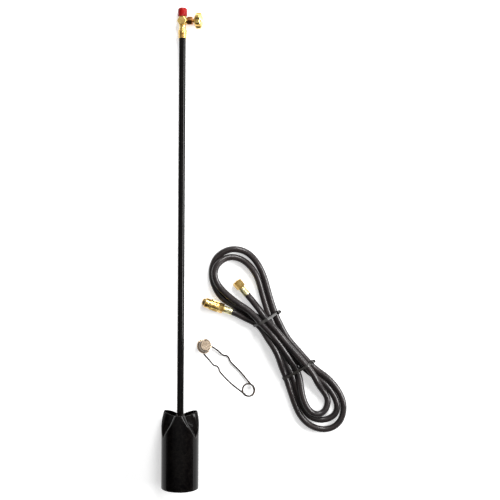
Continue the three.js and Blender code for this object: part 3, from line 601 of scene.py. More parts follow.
red_vinyl = moulded("red_vinyl", (0.62, 0.025, 0.015), (0.52, 0.015, 0.01), 0.34, scale=120.0,
                    Specular_IOR_Level=0.2)
tie_nylon = moulded("tie_nylon", (0.12, 0.115, 0.11), (0.18, 0.17, 0.16), 0.34)
seal_rubber = moulded("seal_rubber", (0.09, 0.09, 0.09), (0.15, 0.15, 0.15), 0.55)
flint_stone = moulded("flint", (0.27, 0.26, 0.27), (0.40, 0.39, 0.38), 0.6, scale=900.0, bump=0.6)
print("made", red_vinyl.name, tie_nylon.name, seal_rubber.name, flint_stone.name)


# %% [markdown]
# ## The hose
# The hose is 13 mm thick and about 2.5 m long. It is folded into a hank: from the cylinder's fitting it
# runs through both ties six times, with two wide loops above and three below, and it ends at the nut
# for the torch. A rope simulation could let it fall, but it wouldn't fall into this hank. So the route
# is a list of points, one after another along the hose. Each is the place of the middle of the hose from
# the middle of the hank, and its height over the table.

# %% The route, in millimetres
hose_radius = 6.5
route = """
-99.3 70 11; -80 62.5 10.4; -64 56 9; -43.9 45.7 8.1; -29 28 14; -8.9 -5.4 19.4; 7 -37 13; 14.5 -64.5 8.1;
26 -95 6.5; 37 -129 6.5; 48 -151 6.5; 67 -167 6.5; 88 -174 6.5; 108 -172 6.5; 123 -162 6.5; 132 -145 6.5;
134 -128 6.5; 130 -110 6.5; 120 -91 6.5; 100 -69 6.5; 77 -50 8; 60.5 -35.5 8.1; 35 -6 8; 18.9 11.9 8;
12 19 8; -3 43 8; -10.1 65.2 8.1; -25 106 6.5; -30 130 6.5; -36 150 6.5; -45 167 6.5; -57 183 6.5;
-71 193 6.5; -93 198 6.5; -109 195 6.5; -122 186 6.5; -132 173 6.5; -138 157 6.5; -139 142 6.5;
-135 125 6.5; -126 106 6.5; -119 96 6.5; -102 86 6.5; -91 80 6.5; -74 70 6.5; -60 63 7; -32.6 52.2 8.1;
-3.5 -2 8.1; 25.6 -57.5 8.1; 37 -91 6.5; 48 -124 6.5; 57 -143 6.5; 74 -152 6.5; 92 -154.5 6.5; 108 -150 6.5;
119 -140 6.5; 123 -125 6.5; 119 -110 6.5; 109 -95 6.5; 91 -77 6.5; 70 -60 8; 49.4 -42.5 8.1; 7.8 5 8.1;
-21.4 58.8 8.1; -25 74 7; -31 95 6.5; -43 134 6.5; -51 150 6.5; -63 165 6.5; -78 177 6.5; -93 181.5 7;
-110 180 10;
-125 173 15; -134 160 18.5; -135 144 18.7; -129 128 18.7; -115 112 18.5; -96 95 18; -77 82 18; -59 70 18.5;
-38.3 49 19.4; 2.1 1.5 19.4; 36.7 -50.5 8.1; 43 -86 16; 47 -105 17.5; 55 -124 17.5; 66 -138 17.5;
80 -144 16; 92 -139 13; 100 -127 10; 102 -111 9; 98 -95 8; 88 -82 11; 71 -60 17.5; 54.9 -39 19.4;
12.9 8.1 19.4; -27 55.5 19.4; -45.7 79.3 9; -58 94.1 8.5; -68.5 106.6 8.5
"""
chosen = np.array([[float(n) for n in point.split()] for point in route.split(";")])
print("route points:", len(chosen))


# %% [markdown]
# A hose bends smoothly, so its middle line is a smooth curve through those points. Blender's own curve
# objects could draw it, but the strands have to be measured against each other, and arrays of points
# make that easy. A running mean takes out the small wobbles that chosen points leave.

# %% A smooth line through the points
def through(points, samples=24):
    """A curve through every point: on each span the cubic with tangents (next - before) / 2 scaled to
    the span's length, 2t^3-3t^2+1, t^3-2t^2+t, 3t^2-2t^3 and t^3-t^2 times its ends and tangents."""
    spans = np.linalg.norm(np.diff(points, axis=0), axis=1)
    knots = np.concatenate([[0], np.cumsum(np.sqrt(spans))])
    tangent = np.gradient(points, knots, axis=0)
    t = np.linspace(0, 1, samples, endpoint=False)[None, :, None]
    width = np.diff(knots)[:, None, None]
    start, stop = points[:-1, None], points[1:, None]
    leave, arrive = tangent[:-1, None] * width, tangent[1:, None] * width
    curve = ((2 * t**3 - 3 * t**2 + 1) * start + (t**3 - 2 * t**2 + t) * leave
             + (3 * t**2 - 2 * t**3) * stop + (t**3 - t**2) * arrive)
    return np.concatenate([curve.reshape(-1, points.shape[1]), points[-1:]])


def evenly(points, step):
    """The same line with points a constant distance apart along it."""
    along = np.concatenate([[0], np.cumsum(np.linalg.norm(np.diff(points, axis=0), axis=1))])
    places = np.linspace(0, along[-1], int(round(along[-1] / step)) + 1)
    return np.stack([np.interp(places, along, points[:, k]) for k in range(3)], 1)


def smoothed(points, width):
    """A running mean over `width` points on each side, with the ends left in place."""
    before, after = 2 * points[:1] - points[width:0:-1], 2 * points[-1:] - points[-2:-width - 2:-1]
    padded = np.concatenate([before, points, after])
    weights = np.hanning(2 * width + 3)[1:-1]
    weights /= weights.sum()
    return np.stack([np.convolve(padded[:, k], weights, "valid") for k in range(3)], 1)


# %% [markdown]
# A hose keeps its length, can't pass through itself and rests on what is under it. Each round of
# settling lets the line drop a little, straightens it slightly as rubber does, draws it back towards the
# chosen route, pushes apart strands that overlap, and keeps it over the table. A strap passes under the
# strands at each tie, so there the lowest height is higher by the thickness of the strap. A physics
# solver could do this too, but a few lines of arithmetic give the same result on every run.

# %% Let the strands settle
def tie_place(spot, degrees):
    """A tie's own place: `across` over the strands, `along` with them."""
    turn = math.radians(degrees)
    point = hank_middle + np.array([*spot, 0]) * 0.001
    return place(point, [-math.sin(turn), math.cos(turn), 0], [0, 0, 1])


def strap_lift(line, where, height=1.7, reach=16.0, half_width=46.0):
    """How far the strap under the strands lifts them: height * exp(-(distance along / reach)^2)."""
    local = (hank_middle + line * 0.001 - where[0]) @ where[1].T * 1000
    return height * np.exp(-((local[:, 1] / reach) ** 2)) * (np.abs(local[:, 0]) < half_width)


def settled(line, gap, lowest, rounds=90, stiffness=0.12, recall=0.06, drop=0.12):
    """Moves points until strands lie one `gap` apart: two points closer than the gap, and far apart
    along the hose, each move half of what is missing, straight away from each other. The first and the
    last few points are held, because a ferrule grips them."""
    home = line.copy()
    order = np.arange(len(line))
    near = np.abs(order[:, None] - order[None, :]) < 4 * gap / np.linalg.norm(line[1] - line[0])
    free = np.clip(np.minimum(order, order[::-1]) / 8.0 - 0.5, 0, 1)[:, None]
    for _ in range(rounds):
        straighter, homeward = smoothed(line, 3) - line, home - line
        line = line + free * (stiffness * straighter + recall * homeward - [0, 0, drop])
        apart = line[:, None] - line[None, :]
        distance = np.linalg.norm(apart, axis=2)
        missing = np.where(near, 0, np.maximum(0, gap - distance))
        push = (apart / np.maximum(distance, 1e-6)[..., None] * missing[..., None]).sum(1)
        share = np.maximum(1, (missing > 0).sum(1))[:, None]
        line = line + 0.5 * free * push / share
        line[:, 2] = np.maximum(line[:, 2], lowest)
    return line


settle_step, final_step, strand_clearance = 4.0, 3.0, 0.15
upper_tie_place, lower_tie_place = tie_place(upper_tie_spot, 30), tie_place(lower_tie_spot, 32)
hose_line = evenly(smoothed(evenly(through(chosen), settle_step), 5), settle_step)
lift = np.maximum(strap_lift(hose_line, upper_tie_place), strap_lift(hose_line, lower_tie_place))
hose_line = settled(hose_line, 2 * hose_radius + strand_clearance, hose_radius + lift)
hose_line = evenly(through(smoothed(hose_line, 3), 2), final_step)
hose_path = hank_middle + hose_line * 0.001


# %% [markdown]
# The skin is a circle carried along that line. A bevelled curve would do the same and choose its own
# twist. Here the upward direction is the guide at every point, so the fine lines of the rubber don't
# spiral. The same function carries the straps, the weld beads and the striker's wire later, and a
# scale that shrinks towards zero at the ends gives them round ends.

# %% Carry a section along a line
def directions(line, up):
    """At each point: the tangent, then side = tangent x up, then top = side x tangent, all unit."""
    tangent = np.gradient(line, axis=0)
    tangent /= np.linalg.norm(tangent, axis=1, keepdims=True)
    side = np.cross(tangent, np.asarray(up, float))
    side /= np.linalg.norm(side, axis=1, keepdims=True)
    return side, np.cross(side, tangent)


def carried(line, section, up=(0, 0, 1), scale=1.0):
    """A grid: line point + scale * (x * side + y * top) for every point (x, y) of the section, where
    the scale is one number or one for each point of the line."""
    side, top = directions(line, up)
    spread = section[None, :, :1] * side[:, None] + section[None, :, 1:] * top[:, None]
    return line[:, None] + np.reshape(scale, (-1, 1, 1)) * spread


def ring(radius, count):
    """Points of a circle."""
    angle = angles(count)
    return np.stack([radius * np.cos(angle), radius * np.sin(angle)], 1)


hose = surface("hose", carried(hose_path, ring(hose_radius * 0.001, 32)), capped=True, sharp=60)
fit(hose, "root", "hose", rubber, "hose_hank", "hose_run")

# %% [markdown]
# ## The two ties
# A tie is a nylon strap pulled tight round the strands. It could be drawn as an oval, but it would cut
# through one strand and miss the next. A tight strap takes the shortest way round them: from each
# direction it touches the outermost strand, and it runs straight to the next. So its loop is worked out
# from the places where the hose crosses it. One end passes through a small locking head, and the rest of
# it is cut off short.

# %% Where the strands pass a tie
strap_thickness, strap_width, strap_clearance = 1.3, 5.4, 0.1
head_length, tail_start, tail_end = 5.4, 4.0, 9.5


def crossings(line, where, half_width):
    """Points (across, up) where a line passes the tie's plane, shared between its two neighbours."""
    local = (line - where[0]) @ where[1].T * 1000
    here, after = local[:-1], local[1:]
    passes = (here[:, 1] * after[:, 1] < 0) & (np.abs(here[:, 0]) < half_width)
    share = (here[:, 1] / (here[:, 1] - after[:, 1] + 1e-12))[:, None]
    return (here + share * (after - here))[passes][:, (0, 2)]


def slab(width, thickness, corner):
    """A rounded rectangle."""
    w, t = width / 2, thickness / 2
    return rounded([[w, -t], [w, t], [-w, t], [-w, -t]], corner, closed=True, steps=3)


def bar(name, start, stop, section, up, bevel):
    """A short straight bar whose ends are bevelled: the section shrinks by `bevel` at each end."""
    start, stop = np.asarray(start, float), np.asarray(stop, float)
    length = np.linalg.norm(stop - start)
    share = np.array([0, bevel * 0.3, bevel, length - bevel, length - bevel * 0.3, length]) / length
    shrink = 1 - np.array([1, 0.3, 0, 0, 0.3, 1]) * bevel / np.abs(section).max()
    middle_line = start + share[:, None] * (stop - start)
    return surface(name, carried(middle_line, section, up, shrink), capped=True)


def tie(name, where, half_width):
    """In each direction n the strap's middle is the furthest strand's centre + reach * n."""
    centres = crossings(hose_path, where, half_width)
    reach = hose_radius + strap_clearance + strap_thickness / 2
    angle = angles(240)
    n = np.stack([np.cos(angle), np.sin(angle)], 1)
    loop = divided(centres[(n @ centres.T).argmax(1)] + reach * n, 1.2, closed=True)
    tangent = np.roll(loop, -1, 0) - np.roll(loop, 1, 0)
    tangent /= np.linalg.norm(tangent, axis=1, keepdims=True)
    outward = np.stack([tangent[:, 1], -tangent[:, 0]], 1)
    section = slab(strap_thickness, strap_width, 0.35)
    flat = loop[:, None] + section[None, :, :1] * outward[:, None]
    grid = np.stack([flat[..., 0], section[None, :, 1] + 0 * flat[..., 0], flat[..., 1]], -1)
    strap = surface(name, put(grid, where), wrap=(True, True), sharp=50)
    lean = math.radians(38)
    out = np.array([math.cos(lean), 0, math.sin(lean)])
    outer = centres[centres[:, 0].argmax()]
    foot = np.array([outer[0], 0, outer[1]]) + (reach - 0.2) * out
    head_up = np.array([-out[2], 0, out[0]]) @ where[1]
    head = bar(name + "_head", put(foot, where), put(foot + head_length * out, where),
               slab(7.2, 6.4, 0.9) * 0.001, head_up, 0.0007)
    tail = bar(name + "_tail", put(foot + tail_start * out, where), put(foot + tail_end * out, where),
               slab(4.6, 1.2, 0.3) * 0.001, head_up, 0.0002)
    print(name, "passes", len(centres), "strands")
    return fused(name, strap, head, tail)


upper_tie = fit(tie("hose_tie_upper", upper_tie_place, 40), "root", "nylon", tie_nylon, "tie_upper")
lower_tie = fit(tie("hose_tie_lower", lower_tie_place, 44), "root", "nylon", tie_nylon, "tie_lower")


# %% [markdown]
# ## The hose's fittings
# Each end has a ferrule that eight jaws have pressed onto the rubber, so its middle has eight flats.
# Both ends have the same ferrule, so one function makes it at either place. At the torch's end a hexagon
# nut turns on a flared nipple. Each piece could be one mesh with the next, but the nut turns and the
# ferrule doesn't, so each is a piece of its own.

# %% Ferrules and the flare nut
def ferrule(name, where):
    """Turned, with eight pressed flats between 4 and 12.6 mm."""
    profile = [[6.35, 0.0], [7.0, 0.0], [7.1, 0.8], [7.1, 3.4], [6.95, 4.2], [6.95, 12.4], [7.1, 13.2],
               [7.1, 15.4], [6.3, 16.4], [6.1, 18.0], [3.4, 18.0], [3.4, 6.0], [6.35, 6.0]]

    def pressed(radius, height, angle):
        jaws = np.minimum(radius, flats(angle, 8, 6.6, corner=6.93))
        return np.where((height > 4.1) & (height < 12.5) & (radius > 6.5), jaws, radius + 0 * angle)

    return turned(name, profile, where, columns=96, shape=pressed, reach=0.35, step=1.0)


flare_ferrule = fit(ferrule("flare_crimp", flare_place), "root", "zinc", yellow_zinc, "flare_ferrule")
supply_ferrule = fit(ferrule("supply_crimp", supply_place), "root", "zinc", yellow_zinc, "pol_ferrule")
nut_profile = [[3.5, 18.3], [8.5, 18.3], [9.81, 19.1], [9.81, 33.5], [8.5, 34.3], [7.5, 34.3], [7.2, 33.9],
               [7.2, 24.0], [3.5, 24.0]]
flare_hex = turned("flare_hexagon_nut", nut_profile, flare_place, columns=96, shape=hexagon_shape(8.5),
                   reach=0.3, step=0.5)
fit(flare_hex, "flare_nut", "brass", turned_brass, "flare_nut")

# %% [markdown]
# At the cylinder's end a big nut with grip flutes and a left-hand thread turns on a nipple with a hexagon
# to hold it, a rounded nose and a ring seal. The flutes could be cut with eight cylinders, but a formula
# for their depth keeps the grid, and it lets each flute run out softly before the smooth band.

# %% The cylinder's nipple and nut
flute_count, flute_radius, flute_centre, flute_fade = 8, 2.2, 12.0, 43.5
nipple_profile = [[2.0, 1.0], [3.2, 1.0], [3.2, 18.3], [9.0, 18.3], [10.39, 19.2], [10.39, 27.4],
                  [9.0, 28.3], [5.4, 28.3], [5.4, 54.6], [7.4, 55.2], [7.4, 58.9], [5.9, 58.9],
                  [5.9, 61.3], [6.9, 61.3], [5.6, 63.6], [2.5, 63.6], [2.0, 63.1]]
supply_nipple = turned("supply_nipple", nipple_profile, supply_place, columns=96,
                       shape=hexagon_shape(9.0, between=(18.2, 28.4)), reach=0.3, step=0.6)
fit(supply_nipple, "root", "brass", turned_brass, "pol_nipple")


def fluted(radius, height, angle):
    """Round grooves: a circle of radius r centred C out, at an angle d from it, leaves a radius of
    C cos(d) - sqrt(r^2 - C^2 sin^2(d)), and over 2 mm the groove gets up to 2 mm less deep."""
    step = 2 * np.pi / flute_count
    off = angle % step - step / 2
    inside = np.maximum(0, flute_radius**2 - (flute_centre * np.sin(off)) ** 2)
    groove = np.where(inside > 0, flute_centre * np.cos(off) - np.sqrt(inside), np.inf)
    shallow = groove + np.clip((height - flute_fade) / 2.0, 0, 1) ** 2 * 2.0
    return np.where(radius > 8.5, np.minimum(radius, shallow), radius + 0 * angle)


supply_profile = [[5.7, 28.6], [9.9, 28.6], [11.0, 29.6], [11.0, 46.4], [9.8, 47.4], [9.8, 49.2],
                  [9.5, 49.6], [9.5, 50.4], [9.8, 50.8], [9.8, 56.8], [8.2, 58.6], [7.7, 58.6],
                  [7.7, 54.3], [5.7, 54.3]]
supply_nut = turned("supply_nut", supply_profile, supply_place, columns=144, shape=fluted, reach=0.45,
                    step=0.7)
fit(supply_nut, "pol_nut", "brass", turned_brass, "pol_nut")

# %% [markdown]
# The hose is one free cord: it leaves the cylinder's ferrule and ends at the fitting for the torch.


# %% [markdown]
# ## The bell
# The bell is one steel tube. Its front end is round, where the flame comes out. Its rear end is pressed
# onto the wand in three places, which leaves three lobes open to the air. It could be sculpted from a
# cylinder, but a formula presses all three places alike: the section is a circle whose radius dips
# three times. Each dip starts narrow, with a crease along its sides, and widens and deepens towards the
# rear. Steel that is bent inwards is also drawn forward, so the rear edge dips too. The inner surface
# lies one wall inside the outer, straight through the steel, so the wall is as thick in the creases.

# %% Bell
bell_radius, bell_length, bell_wall = 38.0, 154.8, 1.6
press_length, press_pull, seat_radius = 50.4, 8.0, 8.75


def pressed_share(angle, along):
    """q is the angle from the middle of a dip over the dip's half width, which grows to 60 degrees. The
    share is (1 + cos pi q) / 2, mixed near the dip's start with 1 - q^2, which leaves a crease."""
    from_dip = np.abs(angle % (2 * np.pi / 3) - np.pi / 3)
    q = np.minimum(1, from_dip / np.maximum(np.pi / 3 * along, 1e-6))
    crease = 0.45 * (1 - along)
    return (1 - crease) * (1 + np.cos(np.pi * q)) / 2 + crease * (1 - q**2)


def bell_section(angle, along):
    """Radius - depth * (radius - seat) * pressed share, where the depth grows along the pressed part."""
    depth = along**2 * (3 - 2 * along) * 0.4 + along * 0.6
    return bell_radius - depth * (bell_radius - seat_radius) * pressed_share(angle, along)


half = bell_wall / 2
start_of_press = bell_length - press_length
outer_heights = np.concatenate([np.linspace(half, start_of_press, 14),
                                start_of_press + np.linspace(0, 1, 56)[1:] * (press_length - half)])
turn_round = np.linspace(0, np.pi, 9)[1:-1]
rear_edge, front_edge = bell_length - half + half * np.sin(turn_round), half - half * np.sin(turn_round)
heights = np.concatenate([outer_heights, rear_edge, outer_heights[::-1], front_edge])[:, None]
insets = np.concatenate([0 * outer_heights, half - half * np.cos(turn_round), 0 * outer_heights + bell_wall,
                         half + half * np.cos(turn_round)])[:, None]
angle = angles(300)[None, :]
along = np.maximum(0, (heights - start_of_press) / press_length)
radius = bell_section(angle, along)
nudge = 1e-4
slope = (bell_section(angle + nudge, along) - bell_section(angle - nudge, along)) / (2 * nudge)
length = np.hypot(radius, slope)
outward, sideways = radius - insets * radius / length, insets * slope / length
bell_grid = np.stack([outward * np.sin(angle) + sideways * np.cos(angle),
                      heights - press_pull * along**2 * pressed_share(angle, along),
                      outward * np.cos(angle) - sideways * np.sin(angle)], -1)
bell = surface("torch_bell", put(bell_grid, bell_place), wrap=(True, True), sharp=60)
fit(bell, "root", "enamel", enamel, "bell")

# %% [markdown]
# A short bead of weld holds each pressed place to the wand. Each could be a squashed sphere, but a weld
# is laid down in small pools, so the bead is an oval section carried a short way round the wand, and
# its size ripples as it goes. It thins to nothing at both ends.

# %% Three weld beads
bead_middle, bead_height = 8.1, 149.3


def bead(name, middle):
    """An oval section carried round the wand. From s = -1 to 1 along it, its size is
    sqrt(1 - s^4) * (1 + 0.09 cos(16 pi s)), and it wavers by 0.25 cos(23 s) mm."""
    s = np.linspace(-1, 1, 73)
    angle = middle + s * math.radians(24)
    height = bead_height + 0.25 * np.cos(23 * s)
    line = np.stack([bead_middle * np.sin(angle), height, bead_middle * np.cos(angle)], 1)
    scale = np.sqrt(np.maximum(1 - s**4, 0.0004)) * (1 + 0.09 * np.cos(16 * np.pi * s))
    section = ring(1.0, 16) * [1.15, 1.85] * 0.001
    return surface(name, carried(put(line, bell_place), section, wand_line, scale), capped=True)


for number, degrees in enumerate((180, 300, 60), 1):
    fit(bead(f"weld_bead_{number}", math.radians(degrees)), "root", "weld", weld, f"bell_weld_{number}")


# %% [markdown]
# ## The wand and the coupling
# The wand is a length of quarter-inch gas pipe, and a brass coupling with a collar joins it to the valve.
# A plain cylinder would do for a pipe seen from afar, but its cut ends show inside the bell, so it is
# turned from a profile with a wall and small round edges. The coupling has a groove round its collar,
# and its two ends stand a little over the pipe and short of the valve.

# %% Wand and coupling
wand_radius, wand_bore, wand_start, wand_end = 6.85, 4.6, 130.8, 910.8
tube = [[wand_bore, wand_start], [wand_radius, wand_start], [wand_radius, wand_end], [wand_bore, wand_end]]
wand = turned("wand_pipe", tube, torch_place, columns=72, reach=0.4, step=12)
fit(wand, "root", "enamel", enamel, "wand_tube")
coupling_start, coupling_end = wand_end - 9.4, wand_end + 6.6
coupling_profile = [
    [7.15, coupling_start], [7.6, coupling_start], [7.9, coupling_start + 0.5], [7.9, coupling_end - 8],
    [8.5, coupling_end - 7.4], [8.5, coupling_end - 4.6], [8.2, coupling_end - 4.2],
    [8.2, coupling_end - 3.8], [8.5, coupling_end - 3.4], [8.5, coupling_end - 0.9], [7.6, coupling_end],
    [4.7, coupling_end], [4.7, wand_end + 0.3], [7.15, wand_end + 0.3]]
collar = turned("wand_collar", coupling_profile, torch_place, columns=72, reach=0.3, step=2)
fit(collar, "root", "brass", turned_brass, "wand_coupling")


# %% [markdown]
# ## The valve
# The body is forged in two dies that meet in a fine line round its middle: a six-sided block, a neck to
# the wand, a boss for the stem and a threaded inlet. One grid can't be a block with a branch, so three
# shells are made and joined. The thread could be a screw modifier, but on a grid it is only a depth
# that depends on height and angle. It is left-handed, so the groove's height falls as its angle grows.

# %% Valve body
clearance, inlet_length, thread_pitch, block_apothem = 0.3, 12.8, 1.41, 8.66
block_centre = float((np.asarray(spindle_point) - mouth) @ wand_line * 1000)
neck_start, block_end = coupling_end + clearance, block_centre + block_apothem
inlet_end = block_end + inlet_length


def left_thread(radius, height, angle):
    """Depth 0.4 * (1 + cos 2 pi (height / pitch + angle / 2 pi)) between the block and the seat."""
    groove = 0.4 * (1 + np.cos(2 * np.pi * (height / thread_pitch + angle / (2 * np.pi))))
    fade_in = np.clip((height - block_end - 1.0) / 0.8, 0, 1)
    fade_out = np.clip((inlet_end - 4.2 - height) / 0.8, 0, 1)
    return np.where(radius > 6.9, radius - groove * fade_in * fade_out, radius + 0 * angle)


neck = [[1.8, neck_start - 6], [4.4, neck_start - 6], [4.4, neck_start], [6.6, neck_start],
        [6.6, neck_start + 3], [6.2, neck_start + 5], [6.6, neck_start + 9], [6.6, block_centre],
        [7.1, block_centre], [7.1, inlet_end - 4], [4.4, inlet_end], [3.4, inlet_end], [3.4, inlet_end - 7],
        [1.8, inlet_end - 7]]
gas_line = turned("gas_line", neck, torch_place, columns=72, shape=left_thread, reach=0.3, step=0.25)
block_profile = [[0, -8], [8.6, -8], [10, -6.6], [10, 6.6], [8.6, 8], [0, 8]]


def forged_block(radius, height, angle):
    """A hexagon with soft corners, scaled by the profile, and a fine ridge where the dies met."""
    bar = flats(angle, 6, block_apothem, turn=np.pi / 6, corner=9.7)
    return radius / 10 * bar + 0.22 * np.exp(-((height / 0.35) ** 2)) * (radius > 9)


block = turned("block", block_profile, block_place, columns=96, shape=forged_block, closed=False, reach=0.9,
               step=0.35)
boss_profile = [[3.1, 4], [6.3, 4], [6.3, 15.4], [5.8, 16], [4.9, 16], [4.9, 12], [3.1, 12]]
boss = turned("boss", boss_profile, spindle_place, columns=72, reach=0.25, step=2)
fit(fused("valve_forging", block, gas_line, boss), "root", "brass", forged_brass, "valve_body")

# %% [markdown]
# The packing nut squeezes the seal round the stem. It is an older, redder brass than the rest. The knob
# is a cast handwheel with six finger lobes and a dished face. The lobes could be six cylinders joined
# to a disc, but then their rims would be hard to round, so the wheel is turned and its radius drops
# between the lobes. The cap is a soft vinyl cup pushed over the inlet's thread.

# %% Packing nut, knob and cap
lobe_count, lobe_depth = 6, 0.17
packing_profile = [[6.6, 10.3], [7.5, 10.3], [8.66, 11.1], [8.66, 19.3], [7.3, 20.3], [3.1, 20.3],
                   [3.1, 16.6], [6.6, 16.6]]
packing_hex = turned("packing_hexagon", packing_profile, spindle_place, columns=96,
                     shape=hexagon_shape(7.5), reach=0.3, step=0.5)
fit(packing_hex, "root", "brass", red_brass, "packing_nut")


def lobed(radius, height, angle):
    """Lobes: the radius drops by lobe_depth of itself times ((1 - cos(lobe_count * angle)) / 2)^1.5,
    only near the rim."""
    valley = ((1 - np.cos(lobe_count * angle)) / 2) ** 1.5
    return radius * (1 - lobe_depth * valley * np.clip((radius - 7.5) / 5, 0, 1))


knob_profile = [[3.1, 23], [6.1, 23], [6.5, 23.4], [6.5, 26], [13.4, 26], [15.9, 28.4], [15.9, 36.2],
                [13.6, 38.6], [10.6, 38.6], [9.6, 38.0], [6.2, 37.4], [2.4, 37.3], [2.4, 25.3], [3.1, 25.3]]
knob = turned("valve_handwheel", knob_profile, spindle_place, columns=180, shape=lobed, reach=1.2, step=0.8)
fit(knob, "valve_handle", "brass", forged_brass, "valve_knob")
cap_length = 17
cap_start = block_end + clearance
cap_end = cap_start + cap_length
cap_profile = [[0, cap_end - 1.6], [3.7, cap_end - 1.6], [7.4, cap_end - 5], [7.4, cap_start],
               [9.3, cap_start], [9.5, cap_start + 1.2], [9.0, cap_start + 2.0], [9.0, cap_end - 5],
               [8.5, cap_end - 2.6], [6.6, cap_end - 0.7], [3.2, cap_end], [0, cap_end]]
cap = turned("inlet_dust_cap", cap_profile, torch_place, columns=72, closed=False, reach=1.1, step=1.0)
fit(cap, "inlet_cap", "red_plastic", red_vinyl, "inlet_cap")


# %% [markdown]
# ## The striker
# One length of spring wire is wound one and a half turns and bent so that its two arms lie side by
# side. One arm ends in a pressed cup with a file inside, the other in a small flint. Squeezing the
# arms drags the flint over the file. A bevelled curve could draw the wire, but the two arms move apart,
# so each is a skin of its own, and its ends are domed. The coil belongs to the arm with the cup.

# %% Wire arms
wire_radius, coil_radius, coil_turns, wire_step = 1.6, 12.6, 1.5, 0.45
arm_rise = coil_turns * (2 * wire_radius + clearance)


def wire(name, points):
    """A round section carried along a smooth line, with domed ends: at a distance d from an end, the
    scale is sqrt(1 - (1 - d / radius)^2)."""
    line = evenly(through(np.asarray(points, float), 12), wire_step)
    from_end = np.minimum(np.arange(len(line)), np.arange(len(line))[::-1]) * wire_step
    scale = np.sqrt(np.maximum(1 - (1 - np.minimum(from_end / wire_radius, 1)) ** 2, 0.01))
    section = ring(wire_radius * 0.001, 14)
    return surface(name, carried(put(line, coil_place), section, coil_up, scale), capped=True)


share = np.linspace(0, 1, 37)
turn = -np.pi / 2 - 2 * np.pi * coil_turns * share
coil = np.stack([coil_radius * np.cos(turn), coil_radius * np.sin(turn), arm_rise * share], 1)
cup_run = [[7, 13.6], [35, 17.6], [65.5, 17.9], [70.5, 17], [75, 14.4], [81, 14.2], [86, 17.2],
           [102, 16.7], [117.5, 16.2]]
cup_arm = np.concatenate([coil, [[x, y, arm_rise] for x, y in cup_run]])
fit(wire("striker_wire_cup", cup_arm), "root", "spring_wire", spring_wire, "striker_cup_arm")
flint_run = [[0.6, -12.6], [9, -13], [39, -15], [65.5, -14.6], [70.5, -15.9], [75, -17.6], [81, -17.2],
             [86, -13.1], [102, -11.2], [117, -7.4], [122.9, -3.7]]
flint_arm = [[x, y, 0.0] for x, y in flint_run]
fit(wire("striker_wire_flint", flint_arm), "flint_arm", "spring_wire", spring_wire, "striker_flint_arm")

# %% [markdown]
# The cup is pressed from thin steel: a flat top, a steep wall and a narrow flange. It is spun, with both
# of its faces in one profile, so it has a real thickness. Its wall is painted nearly black, as painted
# shade and a painted dark reflection, while the flat top stays bright nickel. The metal's edge value
# already mixes in a second colour, so it is set to 1 on the wall, and that colour is a dark one here.

# %% Pressed cup
wall_reach, wall_foot = (10.1, 13.6), 0.5
cup_middle = at(coil_place, [127.6, 3.5, 0])
cup_place = place(cup_middle[0], cup_middle[1][2], cup_middle[1][0])
cup_foot = arm_rise - wire_radius - 1.2
cup_profile = np.array([[0, 12.1], [10.4, 12.1], [12.5, 0], [15.5, 0], [15.5, 0.9], [13.4, 0.9],
                        [11.5, 12.0], [11.0, 13.0], [0, 13.0]])
cup_profile += [0, cup_foot]
pressed_cup = turned("striker_pressed_cup", cup_profile, cup_place, columns=96, closed=False,
                     reach=0.8, step=1.0)
spots = np.empty(3 * len(pressed_cup.data.vertices))
pressed_cup.data.vertices.foreach_get("co", spots)
spots = (spots.reshape(-1, 3) - cup_place[0]) @ cup_place[1].T * 1000
from_axis, over_foot = np.hypot(spots[:, 0], spots[:, 2]), spots[:, 1] - cup_foot
# The wall gets the dark edge colour: painted shade and a painted dark reflection.
wall = (from_axis > wall_reach[0]) & (from_axis < wall_reach[1]) & (over_foot > wall_foot)
pressed_cup.data.attributes["edge"].data.foreach_set("value", wall.astype(float))
fit(pressed_cup, "root", "striker_steel", nickel_steel, "striker_cup")


# %% [markdown]
# ## The construction's own small parts
# The jet, the stem, the seals, the screen, the screw, the file and the flint could be made again, but
# they are hidden or tiny and already have their shape. They need only their finish.

# %% Finish what is left
own_finish = {"jet_holder": turned_brass, "jet_orifice": turned_brass, "valve_stem": turned_brass,
              "flare_nipple": turned_brass, "flint_holder": turned_brass, "inlet_screen": plated_steel,
              "knob_screw": plated_steel, "stem_packing": seal_rubber, "pol_nose_ring": seal_rubber,
              "striker_file": flint_stone, "striker_flint": flint_stone}
for name, finish in own_finish.items():
    solid = frame["nodes"][name]
    solid.data.materials.clear()
    solid.data.materials.append(finish)
print("kept:", sorted(own_finish))


# %% [markdown]
# ## The table and the light
# White paint alone would look grey in soft light, and a brighter lamp would bleach the brass. So the
# table also gives off a little light of its own, but only as the camera and the metals see it: it
# looks white, and it still shows the shadows.

# %% Table
def white_floor():
    """A white surface, plus a glow on camera, glossy and transmission rays. Away from the lamps the glow
    rises to 1, so the far table is as white as the near."""
    finish, tree, shader = new_finish("white_table", Roughness=0.9, Specular_IOR_Level=0.1)
    shader.inputs["Base Color"].default_value = (0.85, 0.85, 0.85, 1)
    rays = node(tree, "ShaderNodeLightPath")
    seen = combined(tree, "MAXIMUM", rays.outputs["Is Camera Ray"], rays.outputs["Is Glossy Ray"])
    seen = combined(tree, "MAXIMUM", seen, rays.outputs["Is Transmission Ray"])
    spot = node(tree, "ShaderNodeTexCoord")
    from_middle = node(tree, "ShaderNodeVectorMath", {0: spot.outputs["Object"]}, operation="LENGTH")
    amount = mapped(tree, from_middle.outputs["Value"], old=(0.75, 2.2), new=(0.48, 1.0))
    shader.inputs["Emission Color"].default_value = (1, 1, 1, 1)
    glow = combined(tree, "MULTIPLY", seen, amount)
    tree.links.new(glow, shader.inputs["Emission Strength"])
    return finish


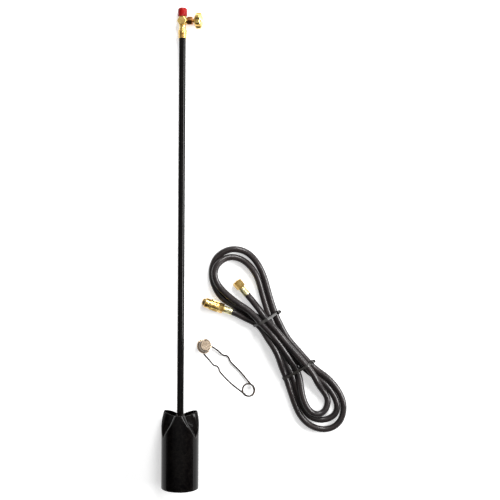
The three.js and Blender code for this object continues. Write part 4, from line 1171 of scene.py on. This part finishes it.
span = 4.0
table_grid = np.array([[[-span, -span, 0], [span, -span, 0]], [[-span, span, 0], [span, span, 0]]], float)
table = surface("table", table_grid, wrap=(False, False))
table.data.materials.append(white_floor())

# %% [markdown]
# Polished brass shows the room around it more than its own colour. An even white sky would leave it
# flat, so the sky has a dark band between its pale rim and its pale top, and round brass shows both. It
# is also nearly dark on the bell's side of the room, so that the enamel stays black. The camera itself
# sees plain white.

# %% Sky and lamps
world = bpy.data.worlds.new("studio")
bpy.context.scene.world = world
world.use_nodes = True
sky = world.node_tree
backdrop = sky.nodes["Background"]
direction = node(sky, "ShaderNodeTexCoord")
parts = node(sky, "ShaderNodeSeparateXYZ", {0: direction.outputs["Generated"]})
bands = node(sky, "ShaderNodeValToRGB", {0: parts.outputs["Z"]})
bands.color_ramp.interpolation = "EASE"
for height, brightness in ((0.16, 0.7), (0.3, 0.06), (0.6, 0.06), (0.8, 0.5)):
    band = bands.color_ramp.elements.new(height)
    band.color = (brightness, brightness, brightness, 1)
bands.color_ramp.elements[0].color = (0.95, 0.95, 0.95, 1)
bands.color_ramp.elements[-1].color = (0.8, 0.8, 0.8, 1)
rays = node(sky, "ShaderNodeLightPath")
seen = node(sky, "ShaderNodeMix", {0: rays.outputs["Is Camera Ray"], 6: bands.outputs["Color"],
                                   7: (1, 1, 1, 1)}, data_type="RGBA")
sky.links.new(seen.outputs[2], backdrop.inputs["Color"])
towards_valve = mapped(sky, parts.outputs["Y"], old=(-0.28, -0.1), new=(0.1, 1.0),
                       interpolation_type="SMOOTHSTEP")
strength = combined(sky, "MAXIMUM", towards_valve, rays.outputs["Is Camera Ray"])
sky.links.new(strength, backdrop.inputs["Strength"])


def lamp(name, spot, aim, size, watts):
    """A rectangular lamp at a spot, turned so that its face looks at the aim."""
    data = bpy.data.lights.new(name, "AREA")
    data.shape, data.energy = "RECTANGLE", watts
    data.size, data.size_y = size
    added = bpy.data.objects.new(name, data)
    bpy.context.scene.collection.objects.link(added)
    back = unit(np.asarray(spot, float) - aim)
    right = unit(np.cross([0, 0, 1], back))
    matrix = np.eye(4)
    matrix[:3] = np.stack([right, np.cross(back, right), back, spot], 1)
    added.matrix_world = Matrix(matrix.tolist())


lamp("key", (0.7, 2.2, 1.8), (0.08, 0, 0), (0.9, 0.9), 75)
lamp("side", (1.9, 0.15, 1.0), (0.0, 0.05, 0), (1.2, 0.75), 66)
print("lamps and table set")
